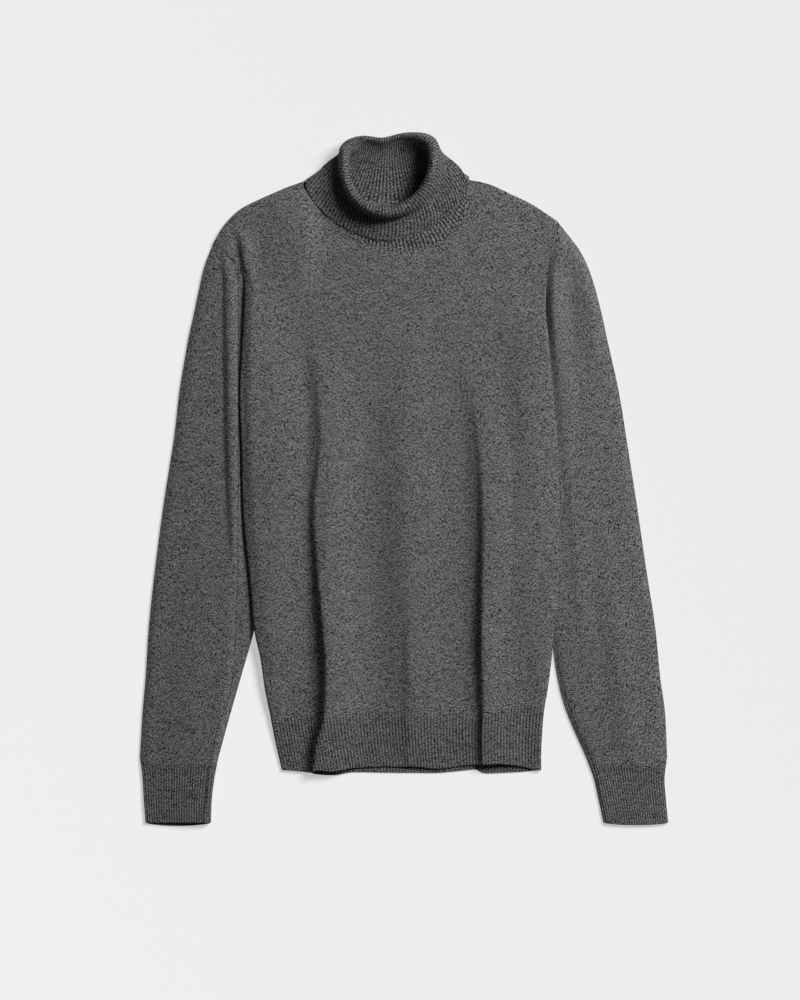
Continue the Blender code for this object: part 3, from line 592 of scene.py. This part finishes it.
def front_plan():
    """The front in one grid: below, its whole width; above, a yoke on each side of the neckline."""
    left, right, bottom = panel_edges()
    (left, left_yoke), (right, right_yoke) = cut_at(left, YOKE_UP), cut_at(right, YOKE_UP)
    foot = neckline(-180 + NECK_SPLIT, -NECK_SPLIT)
    bands = [straight(left[-1], foot[0]), foot, straight(foot[-1], right[-1])]
    middle = joined(bands, NECK_COLUMNS)
    first_part = places(NECK_COLUMNS[0], FRONT_STEP, fine_stop=False) * NECK_COLUMNS[0]
    width = NECK_COLUMNS[1] - NECK_COLUMNS[0]
    middle_part = places(width, FRONT_STEP, False, False) * width + NECK_COLUMNS[0]
    last_part = BODY_WIDTH - first_part[::-1] * (BODY_WIDTH - NECK_COLUMNS[1]) / NECK_COLUMNS[0]
    columns = np.concatenate([first_part, middle_part[1:-1], last_part]) / BODY_WIDTH
    first = len(first_part) - 1
    last = len(columns) - len(first_part)
    rows = places(FRONT_LENGTH, FRONT_STEP, fine_start=False)
    lower = resample(patch(bottom, middle, left, right), columns, rows)
    yoke_rows = places(YOKE_LENGTH, FRONT_STEP, fine_start=False)
    plan = np.full((len(rows) + len(yoke_rows) - 1, len(columns), 2), np.nan)
    plan[:len(rows)] = lower
    neck_left, neck_right = even(neckline(-180 + NECK_SPLIT, -180)), even(neckline(-NECK_SPLIT, 0))
    yokes = (
        (bands[0], even(shoulder(1)), left_yoke, neck_left, slice(0, first + 1)),
        (bands[2], even(shoulder(2)[::-1]), neck_right, right_yoke, slice(last, len(columns))),
    )
    for below, above, edge_left, edge_right, span in yokes:
        picked = columns[span]
        shares = (picked - picked[0]) / (picked[-1] - picked[0])
        yoke = resample(patch(below, above, edge_left, edge_right), shares, yoke_rows)
        plan[len(rows):, span] = yoke[1:]
    cells = np.ones((plan.shape[0] - 1, plan.shape[1] - 1), bool)
    cells[len(rows) - 1:, first:last] = False
    return plan, cells


def side_distance(plan):
    """How far each point of a body panel is from its side seams; beyond the armholes, not at all."""
    distances = []
    for edge, (opens, over) in zip((plan[:, :1], plan[:, -1:]), ARMHOLE_OPENS):
        open_share = smooth((plan[..., 1] - opens) / over)
        distances.append(np.linalg.norm(plan - edge, axis=2) + 2 * ROUND * open_share)
    return np.minimum(*distances)


def shoulder_distance(plan):
    """How far each point is from the shoulder seam at the top of its own column."""
    return np.linalg.norm(plan - plan[-1:], axis=2)


def hem_plan(edge_column):
    """Plan of a hem rib, from its lower edge to the rib line, a column for each sample of a rib."""
    ends = (edge_column, RIB_TOP)
    sides = [between(side_curve(side), *(hem_corner(side, end) for end in ends)) for side in (1, 2)]
    bottom = edge_line(sides[0][0, 0], sides[1][0, 0], edge_column)
    top = edge_line(sides[0][-1, 0], sides[1][-1, 0], RIB_TOP)
    for side, end in zip(sides, (0, -1)):
        side[0], side[-1] = bottom[end], top[end]
    plan = patch(bottom, top, sides[0], sides[1])
    columns = np.linspace(0, 1, HEM_RIBS * RIB_SAMPLES + 1)
    return resample(plan, columns, places(HEM_LENGTH, RIB_STEP, fine_stop=False))


def tube_section(width, wall, edge_room, room, flat_columns, round_columns):
    """Round a flattened tube's middle surface: shares from its outer to its inner edge, heights."""
    edge, middle = (wall + edge_room) / 2, (wall + room) / 2
    turn = np.linspace(0, math.pi, round_columns + 1)
    flat = np.linspace(0, 1, flat_columns + 1)[1:-1]
    over = edge + flat * (width - 2 * edge)
    in_from_edge = np.minimum(over, width - over) - edge
    rise = np.sin(np.clip(in_from_edge / SLEEVE_SLOPE, 0, 1) * math.pi / 2)
    top = 2 * edge + 2 * (middle - edge) * rise
    shares = np.concatenate([over, width - edge + edge * np.sin(turn), over[::-1],
                             edge - edge * np.sin(turn)])
    heights = np.concatenate([top, edge + edge * np.cos(turn), np.zeros(len(flat)),
                              edge - edge * np.cos(turn)])
    return shares / width, heights + wall / 2


def sleeve_plan(side):
    """Plan of a sleeve, each row from its outer to its inner edge, from the cuff to the armhole."""
    outer = [(row[side.outer], row[0]) for row in SLEEVES] + one_side(SLEEVE_HEADS[1:], side.number)
    outer = [(across + side.sign * EDGE_PROUD, up) for across, up in outer]
    inner = [(row[side.inner], row[0]) for row in SLEEVES]
    seam = spline(one_side(ARMHOLES[::-1], side.number))
    seam = seam + np.array([side.sign * ARMHOLE_GAP, -SEAM])
    outer, inner = spline(outer), spline(inner)
    outer[-1], inner[-1] = seam[0], seam[-1]
    outer, inner, seam = even(outer), even(inner), even(seam)
    return patch(straight(outer[0], inner[0]), seam, outer, inner)


def cuff_plan(side):
    edges = [even(spline([(row[k], row[0]) for row in CUFFS[::-1]])) for k in (side.outer, side.inner)]
    edges[0][:, 0] += side.sign * EDGE_PROUD
    lines = [straight(edges[0][end], edges[1][end]) for end in (0, -1)]
    lines[0][1:-1, 1] -= side.cuff_bow * np.sqrt(np.sin(np.pi * np.linspace(0, 1, DENSE)[1:-1]))
    return patch(*lines, *edges)


def slopes(grid, axis):
    """Differences along a grid, one-sided where it ends or has no neighbour."""
    step = np.diff(grid, axis=axis)
    first, last = np.take(step, [0], axis), np.take(step, [-1], axis)
    before = np.concatenate([first, step], axis=axis)
    after = np.concatenate([step, last], axis=axis)
    before = np.where(np.isnan(before), after, before)
    after = np.where(np.isnan(after), before, after)
    return before + after


def normals_of(grid, closed):
    """Unit normals of a grid of points, whose columns may close round."""
    if closed:
        across = np.roll(grid, -1, axis=1) - np.roll(grid, 1, axis=1)
    else:
        across = slopes(grid, 1)
    normal = np.cross(across, slopes(grid, 0))
    return normal / np.linalg.norm(normal, axis=2)[..., None]


def edge_taper(distance, wall):
    """Half the wall, rounded off towards a free edge."""
    radius = wall / 2
    inside = np.clip(distance / radius, 0.02, 1)
    return radius * np.sqrt(1 - (1 - inside) ** 2)


def row_distance(grid, from_last):
    """Along each column, how far each row is from the first or the last row."""
    length = lengths(grid)
    return length[-1] - length if from_last else length


def come_round(grid):
    """The grid of a closed piece, with its first column again as its last."""
    return np.concatenate([grid, grid[:, :1]], axis=1)


def rib_relief(ribs, share=1.0):
    """How far the face between the ribs lies below their tops."""
    return RIB_DEPTH * share * (1 - np.abs(np.sin(np.pi * ribs)) ** 0.8)


def placed(name, data):
    """An object in the scene."""
    obj = bpy.data.objects.new(name, data)
    bpy.context.scene.collection.objects.link(obj)
    return obj


def knitted(name, grid, half_out, half_in, fabric, material, marks, closed=False, cells=None):
    """One closed piece: the grid's points, moved out to each side, where it has cells.

    fabric holds each point's place in the knit, across and along its wales; a closed piece has one
    column more there than in the grid. marks are further values at the points, by name.
    """
    normal = normals_of(grid, closed)
    rows, columns = grid.shape[:2]
    if cells is None:
        cells = np.ones((rows - 1, columns if closed else columns - 1), bool)
    points = np.concatenate([
        (grid + normal * half_out[..., None]).reshape(-1, 3),
        (grid - normal * half_in[..., None]).reshape(-1, 3),
    ])
    under = rows * columns
    i, j = np.nonzero(cells)
    corners = ((0, 0), (0, 1), (1, 1), (1, 0))
    place = np.stack([np.stack([i + up, j + across], axis=1) for up, across in corners], axis=1)
    ring = place[..., 0] * columns + place[..., 1] % columns
    faces = [ring, ring[:, ::-1] + under]
    places_of = [place, place[:, ::-1]]
    for side, (di, dj) in enumerate(((-1, 0), (0, 1), (1, 0), (0, -1))):
        ni, nj = i + di, j + dj
        if closed:
            nj = nj % cells.shape[1]
        inside = (ni >= 0) & (ni < cells.shape[0]) & (nj >= 0) & (nj < cells.shape[1])
        inside[inside] = cells[ni[inside], nj[inside]]
        start, stop = ring[~inside, side], ring[~inside, (side + 1) % 4]
        first, second = place[~inside, side], place[~inside, (side + 1) % 4]
        faces.append(np.stack([stop, start, start + under, stop + under], axis=1))
        places_of.append(np.stack([second, first, first, second], axis=1))
    faces = np.concatenate(faces)
    places_of = np.concatenate(places_of).reshape(-1, 2)
    used, faces = np.unique(faces, return_inverse=True)
    faces = faces.reshape(-1, 4)
    mesh = bpy.data.meshes.new(name)
    mesh.from_pydata((points[used] * MM).tolist(), [], faces.tolist())
    layer = mesh.uv_layers.new(name="fabric")
    layer.data.foreach_set("uv", fabric[places_of[:, 0], places_of[:, 1]].astype(np.float32).ravel())
    unmarked = np.full((rows, columns), NO_SEAM)
    for mark, values in ({"seam": unmarked, "underarm": unmarked} | marks).items():
        attribute = mesh.attributes.new(mark, "FLOAT", "POINT")
        attribute.data.foreach_set("value", np.tile(values.ravel(), 2)[used].astype(np.float32))
    mesh.shade_smooth()
    mesh.set_sharp_from_angle(angle=SHARP)
    mesh.materials.append(material)
    return placed(name, mesh)


def declare(obj, node):
    """What a piece rides on, and the part of the model that it stands for, which is hidden."""
    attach(obj, "root")
    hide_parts(node)


# --- Finishes ---

STITCH_WIDE = 1.5       # one wale of the plain knit
STITCH_HIGH = 1.05      # one course
STITCH_SLANT = 1.1      # how far its two legs lean, in courses
CHARCOAL = (0.012, 0.0117, 0.0126)
PLUM_ASH = (0.300, 0.282, 0.306)
OLIVE_ASH = (0.300, 0.292, 0.281)
JERSEY_TONE = 0.38
RIB_TONE = 0.545
COLLAR_TONE = 0.52
VALLEY_SHADE = 0.47           # painted shade: how much darker the cloth is painted in the recesses between the ribs
RIB_CALM = 0.45         # how much less the tones of its stitches differ on a rib
COLLAR_CALM = 0.54
# painted shade in the recesses between the ribs of the collar
COLLAR_VALLEY_SHADE = 0.54
STITCH_MIX = 2.07       # how much the tones of single stitches differ
YARN_MIX = 1.9          # how much they differ along the yarn
YARN_RUN = 0.7          # how quickly they change along a course
COURSE_STEP = 7.31      # sets each course's yarn apart from its neighbours'
FLEECE_MIX = 0.4        # how much the whole cloth varies
FLEECE_ACROSS = 0.07
FLEECE_UP = 0.13
TINT_MIX = 3.0          # how clearly the light yarn turns from plum to olive
SEED = 3.0
SEAM_WIDE = 1.6         # how far from a seam its shadow reaches
# how dark the painted shadow along a seam is
SEAM_SHADE = 1.25
UNDERARM_SHADE = 0.7     # how dark the painted shadow of the underarm seams is against that
STITCH_BUMP = 0.00022   # metres

# Stage
FLOOR_PALE = 0.475
FLOOR_GLOW = 0.48
FLOOR_DROP = 0.2        # just clear of the cloth
FLOOR_SIDE = 4000.0
FLOOR_WHITE = (1.0, 0.995, 0.985, 1)
KEY_AWAY = 3.4          # metres
KEY_AZIMUTH = 38.0
KEY_UP = 43.0
KEY_SIZE = 1.35
KEY_WATTS = 128.0
KEY_WHITE = (1.0, 0.99, 0.98)
ROOM_LIGHT = 0.055
ROOM_WHITE = (0.93, 0.95, 1.0, 1)


def maths(operation, swapped=False):
    """A method of a value that adds a node for this operation; swapped, its own value comes last."""
    def method(value, *others):
        order = (*others, value) if swapped else (value, *others)
        return value.finish.add("ShaderNodeMath", {"operation": operation}, dict(enumerate(order)))
    return method


class Value:
    """A socket of a node tree; plain operators on it add the nodes that work them out."""

    __add__ = maths("ADD")
    __radd__ = maths("ADD", swapped=True)
    __sub__ = maths("SUBTRACT")
    __rsub__ = maths("SUBTRACT", swapped=True)
    __mul__ = maths("MULTIPLY")
    __rmul__ = maths("MULTIPLY", swapped=True)
    __truediv__ = maths("DIVIDE")
    __abs__ = maths("ABSOLUTE")
    floor = maths("FLOOR")
    fraction = maths("FRACT")
    cosine = maths("COSINE")

    def __init__(self, finish, socket):
        self.finish = finish
        self.socket = socket

    def clipped(self):
        return self.finish.add("ShaderNodeClamp", {}, {"Value": self})


class Finish:
    """A material being built."""

    def __init__(self, name):
        self.material = bpy.data.materials.new(name)
        self.material.use_nodes = True
        self.tree = self.material.node_tree
        self.shader = self.tree.nodes["Principled BSDF"]

    def connect(self, value, socket):
        if isinstance(value, Value):
            self.tree.links.new(value.socket, socket)
        else:
            socket.default_value = value

    def add(self, kind, settings, sockets, output=0):
        """Adds a node: its settings first, then the values or links of its sockets."""
        node = self.tree.nodes.new(kind)
        for name, value in settings.items():
            setattr(node, name, value)
        for name, value in sockets.items():
            self.connect(value, node.inputs[name])
        return Value(self, node.outputs[output])

    def place(self, across, up):
        """Where a noise is read."""
        return self.add("ShaderNodeCombineXYZ", {}, {"X": across, "Y": up, "Z": SEED})

    def noise(self, place, output=0, **sockets):
        return self.add("ShaderNodeTexNoise", {}, {"Vector": place, **sockets}, output)

    def mark(self, name):
        """A value that the mesh holds at its points."""
        return self.add("ShaderNodeAttribute", {"attribute_name": name}, {}, 2)

    def set(self, **sockets):
        for name, value in sockets.items():
            self.connect(value, self.shader.inputs[name.replace("_", " ")])

    def mix(self, share, first, second):
        """A colour between two others."""
        node = self.tree.nodes.new("ShaderNodeMix")
        node.data_type = "RGBA"
        for value, socket in ((share, node.inputs[0]), (first, node.inputs[6]), (second, node.inputs[7])):
            self.connect(value, socket)
        return Value(self, node.outputs[2])


def knit_finish(name, wide, legs, calm=None, tone=RIB_TONE, valley_shade=VALLEY_SHADE):
    """Wool yarn spun of dark and light fibres, knitted: each leg of a stitch has its own tone, tones
    run on along a course, and the fleece varies softly over the whole cloth."""
    finish = Finish(name)
    uv = finish.add("ShaderNodeUVMap", {"uv_map": "fabric"}, {})
    across = finish.add("ShaderNodeSeparateXYZ", {}, {"Vector": uv}, 0)
    up = finish.add("ShaderNodeSeparateXYZ", {}, {"Vector": uv}, 1)
    wale = across / wide
    course = up / STITCH_HIGH + abs(wale.fraction() - 0.5) * (2 * STITCH_SLANT)
    row = course.floor()
    stitch, below = (
        finish.add("ShaderNodeTexWhiteNoise", {}, {"Vector": finish.place((wale * legs).floor(), at_row)})
        for at_row in (row, row - 1.0)
    )
    run = finish.place(across * YARN_RUN, row * COURSE_STEP)
    yarn = finish.noise(run, Scale=1.0, Detail=2.0, Roughness=0.7)
    broad = finish.place(across * FLEECE_ACROSS, up * FLEECE_UP)
    fleece = finish.noise(broad, Scale=1.0, Detail=3.0)
    tint = finish.noise(broad, 1, Scale=1.3, Detail=2.0)
    share = (stitch - below * 0.5 - 0.25) * STITCH_MIX + (yarn - 0.5) * YARN_MIX
    # painted shadow along the armhole and underarm seams; the same line also dents the bump
    line = (1.0 - finish.mark("seam") / SEAM_WIDE).clipped()
    line = line + (UNDERARM_SHADE - abs(finish.mark("underarm")) / SEAM_WIDE).clipped()
    strand = ((course.fraction() - 0.5) * (2 * math.pi)).cosine()
    groove = (wale.fraction() * (2 * math.pi)).cosine()
    if calm is not None:
        depth = finish.mark("ribbed")
        share = share * (1.0 - depth * calm)
        # painted shade: the recesses between the ribs are painted darker
        share = share + depth * (tone - JERSEY_TONE) - (groove * 0.5 + 0.5) * depth * valley_shade
        height = strand * 0.5 - line
    else:
        height = strand * 0.5 - groove * 0.5 - line
    share = share + (fleece - 0.5) * FLEECE_MIX - line * SEAM_SHADE + JERSEY_TONE
    tints = finish.add("ShaderNodeSeparateColor", {}, {"Color": tint}, 0)
    light_yarn = finish.mix(((tints - 0.5) * TINT_MIX + 0.5).clipped(), (*PLUM_ASH, 1), (*OLIVE_ASH, 1))
    finish.set(Base_Color=finish.mix(share.clipped(), (*CHARCOAL, 1), light_yarn))
    bump = finish.add("ShaderNodeBump", {}, {"Height": height, "Distance": STITCH_BUMP, "Strength": 0.5})
    finish.set(Normal=bump)
    finish.set(Roughness=0.95, Metallic=0.0)
    finish.set(Specular_IOR_Level=0.15, Sheen_Weight=0.04, Sheen_Roughness=0.6)
    return finish.material


def floor_finish(lamp, distance):
    """Evenly pale under a near lamp: darker where the lamp is nearer."""
    finish = Finish("floor")
    place = finish.add("ShaderNodeNewGeometry", {}, {})
    away = finish.add("ShaderNodeVectorMath", {"operation": "DISTANCE"}, {0: place, 1: tuple(lamp)}, 1)
    fall = away / distance
    share = (fall * fall * fall * FLOOR_PALE).clipped()
    finish.set(Base_Color=finish.mix(share, (0, 0, 0, 1), FLOOR_WHITE))
    finish.set(Roughness=0.9, Specular_IOR_Level=0.0)
    finish.set(Emission_Color=FLOOR_WHITE, Emission_Strength=FLOOR_GLOW)
    return finish.material


# --- Pieces ---

def line_distance(points, curve):
    """How far points are from a curve, in plan."""
    return np.stack([
        np.min(np.linalg.norm(row[:, None, :2] - curve[None, :, :2], axis=2), axis=1) for row in points
    ])


def armhole_distance(plan):
    left, right = (spline(one_side(ARMHOLES[2:], side)) for side in (1, 2))
    return np.minimum(line_distance(plan, left), line_distance(plan, right) + RIGHT_FAINT)


def layer_height(plan, wall, share, distance, upper):
    """Middle of the back layer, or of the front layer with its folds."""
    low, high = body_heights(plan, wall, share)
    if not upper:
        return low
    return high + ridge_height(FRONT_RIDGES, plan[..., 0], plan[..., 1]) * smooth(distance / FOLD_FADE)


def make_panel(name, node, panel, upper, material):
    plan, cells = panel
    wall = np.full(plan.shape[:2], JERSEY)
    distance = side_distance(plan)
    share = np.fmin(rounded(distance), np.nan_to_num(rounded(shoulder_distance(plan)), nan=1.0))
    grid = np.dstack([plan, layer_height(plan, wall, share, distance, upper)])
    half = wall / 2
    marks = {"seam": np.nan_to_num(armhole_distance(plan), nan=NO_SEAM)}
    piece = knitted(name, grid, half, half, plan + PANEL_OFFSET, material, marks, cells=cells)
    declare(piece, node)


def ribbed_share(from_join, taper=RIB_TAPER):
    """0 where a rib grows out of plain knit, 1 where it is full."""
    return smooth(from_join / taper)


def rib_sides(ribs, share, wall, to_edge):
    """How far a ribbed piece reaches out and in from its middle, rounded towards its free edge."""
    half = np.minimum(wall / 2, edge_taper(to_edge, wall))
    body = half / (wall / 2)
    return half - rib_relief(ribs, share) * body, half - rib_relief(ribs + 0.5, share) * body


def make_hem(name, node, edge_column, upper, material):
    plan = hem_plan(edge_column)
    flat = np.dstack([plan, np.zeros(plan.shape[:2])])
    share = ribbed_share(row_distance(flat, True))
    wall = JERSEY + (RIB - JERSEY) * share
    distance = np.minimum(
        np.linalg.norm(plan - plan[:, :1], axis=2), np.linalg.norm(plan - plan[:, -1:], axis=2))
    grid = np.dstack([plan, layer_height(plan, wall, rounded(distance), distance, upper)])
    ribs = np.broadcast_to(np.arange(plan.shape[1]) / RIB_SAMPLES, plan.shape[:2])
    outer, inner = rib_sides(ribs, share, wall, row_distance(flat, False))
    fabric = np.dstack([ribs * RIB_PITCH, plan[..., 1] + PANEL_OFFSET])
    marks = {"ribbed": share}
    piece = knitted(name, grid, outer, inner, fabric, material, marks)
    declare(piece, node)


def tube_grid(plan, rows, sections, ridges):
    """Rings of a flattened tube. Each row has its section's sizes; ridges lift its upper side."""
    rings = []
    for up, section in zip(rows, sections):
        line = row_at(plan, up)
        width = np.linalg.norm(np.diff(line, axis=0), axis=1).sum()
        shares, heights = tube_section(width, *section)
        ring = np.column_stack([along(line, shares), heights])
        upper = smooth((heights - heights.min()) / (heights.max() - heights.min()))
        ring[:, 2] += ridge_height(ridges, ring[:, 0], ring[:, 1]) * upper
        rings.append(ring)
    return np.stack(rings)


def girth(grid):
    """Distance round a tube from its first column, with the closing column."""
    return lengths(come_round(grid), 1)


def underarm_distance(grid, side):
    """How far the upper side of a sleeve or cuff is across from its underarm seam; negative before it."""
    across = (grid[..., 0] - read(UNDERARM_SEAMS, side.number, grid[..., 1])) * UNDERARM_THIN
    return np.where(grid[..., 2] > 2 * JERSEY, across, np.copysign(NO_SEAM, across))


def tube_edges(grid):
    """Where the two folded edges of a flattened tube are across, for each of its rings."""
    return grid[..., 0].min(axis=1, keepdims=True), grid[..., 0].max(axis=1, keepdims=True)


def pressed_edges(grid):
    """How much of its thickness a flattened tube keeps: less along its two folded edges."""
    low, high = tube_edges(grid)
    from_edge = np.minimum(grid[..., 0] - low, high - grid[..., 0])
    return 1 - EDGE_PRESS * (1 - smooth(from_edge / EDGE_PRESS_WIDE))


def rib_fabric(rows, columns, length):
    """The place in its knit of each point of a ribbed tube."""
    around = np.broadcast_to(np.arange(columns + 1) / RIB_SAMPLES * RIB_PITCH, (len(rows), columns + 1))
    return np.dstack([around, (rows * length)[:, None] + 0 * around]) + TUBE_OFFSET


def make_sleeve(side, material):
    rows = places(SLEEVE_LENGTH, SLEEVE_STEP, fine_start=False)
    section = (JERSEY, SLEEVE_EDGE_ROOM, SLEEVE_ROOM, *SLEEVE_COLUMNS)
    grid = tube_grid(sleeve_plan(side), rows, [section] * len(rows), side.ridges)
    grid = grid if side is LEFT else grid[:, ::-1]
    half = JERSEY / 2 * pressed_edges(grid)
    round_it = girth(grid)
    length = come_round(row_distance(grid, False)).mean(axis=1, keepdims=True)
    fabric = np.dstack([round_it, length + 0 * round_it]) + TUBE_OFFSET
    marks = {"seam": row_distance(grid, True), "underarm": underarm_distance(grid, side)}
    name = "sleeve_" + side.name
    piece = knitted(name + "_knit", grid, half, half, fabric, material, marks, closed=True)
    declare(piece, name)


def make_cuff(side, material):
    rows = places(CUFF_LENGTH, RIB_STEP, fine_stop=False)
    from_join = (1 - rows) * CUFF_LENGTH
    room = SLEEVE_ROOM + (CUFF_ROOM - SLEEVE_ROOM) * smooth(from_join / CUFF_CLOSE)
    share = ribbed_share(from_join)
    walls = JERSEY + (RIB - JERSEY) * share
    sections = [(wall, SLEEVE_EDGE_ROOM, gap, *CUFF_COLUMNS) for wall, gap in zip(walls, room)]
    rings = come_round(tube_grid(cuff_plan(side), rows, sections, side.ridges))
    columns = CUFF_RIBS * RIB_SAMPLES
    grid = np.stack([along(ring, np.linspace(0, 1, columns + 1))[:-1] for ring in rings])
    upper = smooth((grid[..., 2] - RIB) / UPPER_FROM)
    low, high = tube_edges(grid)
    bow = np.sqrt(np.sin(np.pi * (grid[..., 0] - low) / (high - low)).clip(0))
    end = smooth(1 - rows * CUFF_LENGTH / CUFF_GAPE_LENGTH)[:, None] * upper * bow
    grid[..., 1] += side.cuff_short * end
    grid[..., 2] += CUFF_GAPE * end
    grid = grid if side is LEFT else grid[:, ::-1]
    share = share[:, None] * np.ones(columns)
    wall = walls[:, None] * pressed_edges(grid)
    ribs = np.broadcast_to(np.arange(columns) / RIB_SAMPLES, grid.shape[:2])
    outer, inner = rib_sides(ribs, share, wall, row_distance(grid, False))
    fabric = rib_fabric(rows, columns, CUFF_LENGTH)
    marks = {"underarm": underarm_distance(grid, side), "ribbed": share}
    name = "cuff_" + side.name
    piece = knitted(name + "_rib", grid, outer, inner, fabric, material, marks, closed=True)
    declare(piece, name)


def collar_column(ring, ribs):
    """Angles at which a ring holds these ribs: rib 0 is at the middle of its back."""
    angles = np.linspace(-1.5 * math.pi, 0.5 * math.pi, 1441)
    points = collar_ring(ring, angles)
    length = lengths(points)
    behind = (COLLAR_RIBS - ring.ribs) / 2
    left_side = np.interp(-math.pi, angles, length)
    right_side = np.interp(0.0, angles, length)
    counted = np.interp(length, [0, left_side, right_side, length[-1]],
                        [0, behind, behind + ring.ribs, COLLAR_RIBS])
    return np.interp(ribs, counted, angles)


def collar_grid():
    ribs = np.arange(COLLAR_RIBS * RIB_SAMPLES) / RIB_SAMPLES
    rings = np.stack([collar_ring(ring, collar_column(ring, ribs)) for ring in COLLAR_RINGS])
    rows = places(COLLAR_LENGTH, COLLAR_LENGTH / COLLAR_ROWS)
    grid = np.stack([along(spline(rings[:, k], 16), rows) for k in range(len(ribs))], axis=1)
    return grid, rows, ribs


def make_collar(material):
    grid, rows, ribs = collar_grid()
    to_edge = row_distance(grid, True)
    share = ribbed_share(row_distance(grid, False), STAND_TAPER)
    wall = JERSEY + (RIB - JERSEY) * share
    wall = wall - (RIB - RIB_EDGE) * (1 - smooth(to_edge / EDGE_THIN))
    count = np.broadcast_to(ribs, grid.shape[:2])
    outer, inner = rib_sides(count, share * wall / RIB, wall, to_edge)
    marks = {"ribbed": share}
    fabric = rib_fabric(rows, len(ribs), COLLAR_LENGTH)
    piece = knitted("roll_collar", grid, outer, inner, fabric, material, marks, closed=True)
    declare(piece, "collar")


# --- Stage ---

def make_floor(lamp, distance):
    side = FLOOR_SIDE * MM
    mesh = bpy.data.meshes.new("floor")
    corners = [(-side, -side), (side, -side), (side, side), (-side, side)]
    mesh.from_pydata([(x, y, -FLOOR_DROP * MM) for x, y in corners], [], [(0, 1, 2, 3)])
    mesh.materials.append(floor_finish(lamp, distance))
    floor = placed("floor", mesh)


def area_light(name, azimuth, elevation, distance, size, watts, colour):
    light = bpy.data.lights.new(name, "AREA")
    light.shape = "SQUARE"
    light.size = size
    light.energy = watts
    light.color = colour
    obj = placed(name, light)
    a, e = math.radians(azimuth), math.radians(elevation)
    obj.location = (distance * math.cos(e) * math.cos(a), distance * math.cos(e) * math.sin(a),
                    distance * math.sin(e))
    obj.rotation_euler = (math.pi / 2 - e, 0, a + math.pi / 2)
    return obj


def make_stage():
    key = area_light("key", KEY_AZIMUTH, KEY_UP, KEY_AWAY, KEY_SIZE, KEY_WATTS, KEY_WHITE)
    make_floor(key.location, KEY_AWAY)
    world = bpy.data.worlds.new("studio")
    world.use_nodes = True
    background = world.node_tree.nodes["Background"]
    background.inputs["Color"].default_value = ROOM_WHITE
    background.inputs["Strength"].default_value = ROOM_LIGHT
    bpy.context.scene.world = world
    bpy.context.scene.view_settings.view_transform = "Standard"


def make_camera():
    camera = bpy.data.cameras.new("camera")
    camera.sensor_width = SENSOR
    camera.lens = SENSOR * CAMERA_UP / FRAME_HEIGHT
    obj = placed("camera", camera)
    obj.location = (VIEW_CENTRE[0] * MM, VIEW_CENTRE[1] * MM, CAMERA_UP * MM)
    bpy.context.scene.camera = obj


make_camera()
make_stage()
jersey = knit_finish("jersey_heather", STITCH_WIDE, 2)
rib = knit_finish("rib_heather", RIB_PITCH, 4, RIB_CALM)
collar_rib = knit_finish("collar_heather", RIB_PITCH, 4, COLLAR_CALM, COLLAR_TONE, COLLAR_VALLEY_SHADE)
make_panel("back_panel", "back", back_plan(), False, jersey)
make_panel("front_panel", "front", front_plan(), True, jersey)
make_hem("hem_back_rib", "hem_back", BACK_EDGE, False, rib)
make_hem("hem_front_rib", "hem_front", FRONT_EDGE, True, rib)
for sleeve_side in (LEFT, RIGHT):
    make_sleeve(sleeve_side, jersey)
    make_cuff(sleeve_side, rib)
make_collar(collar_rib)
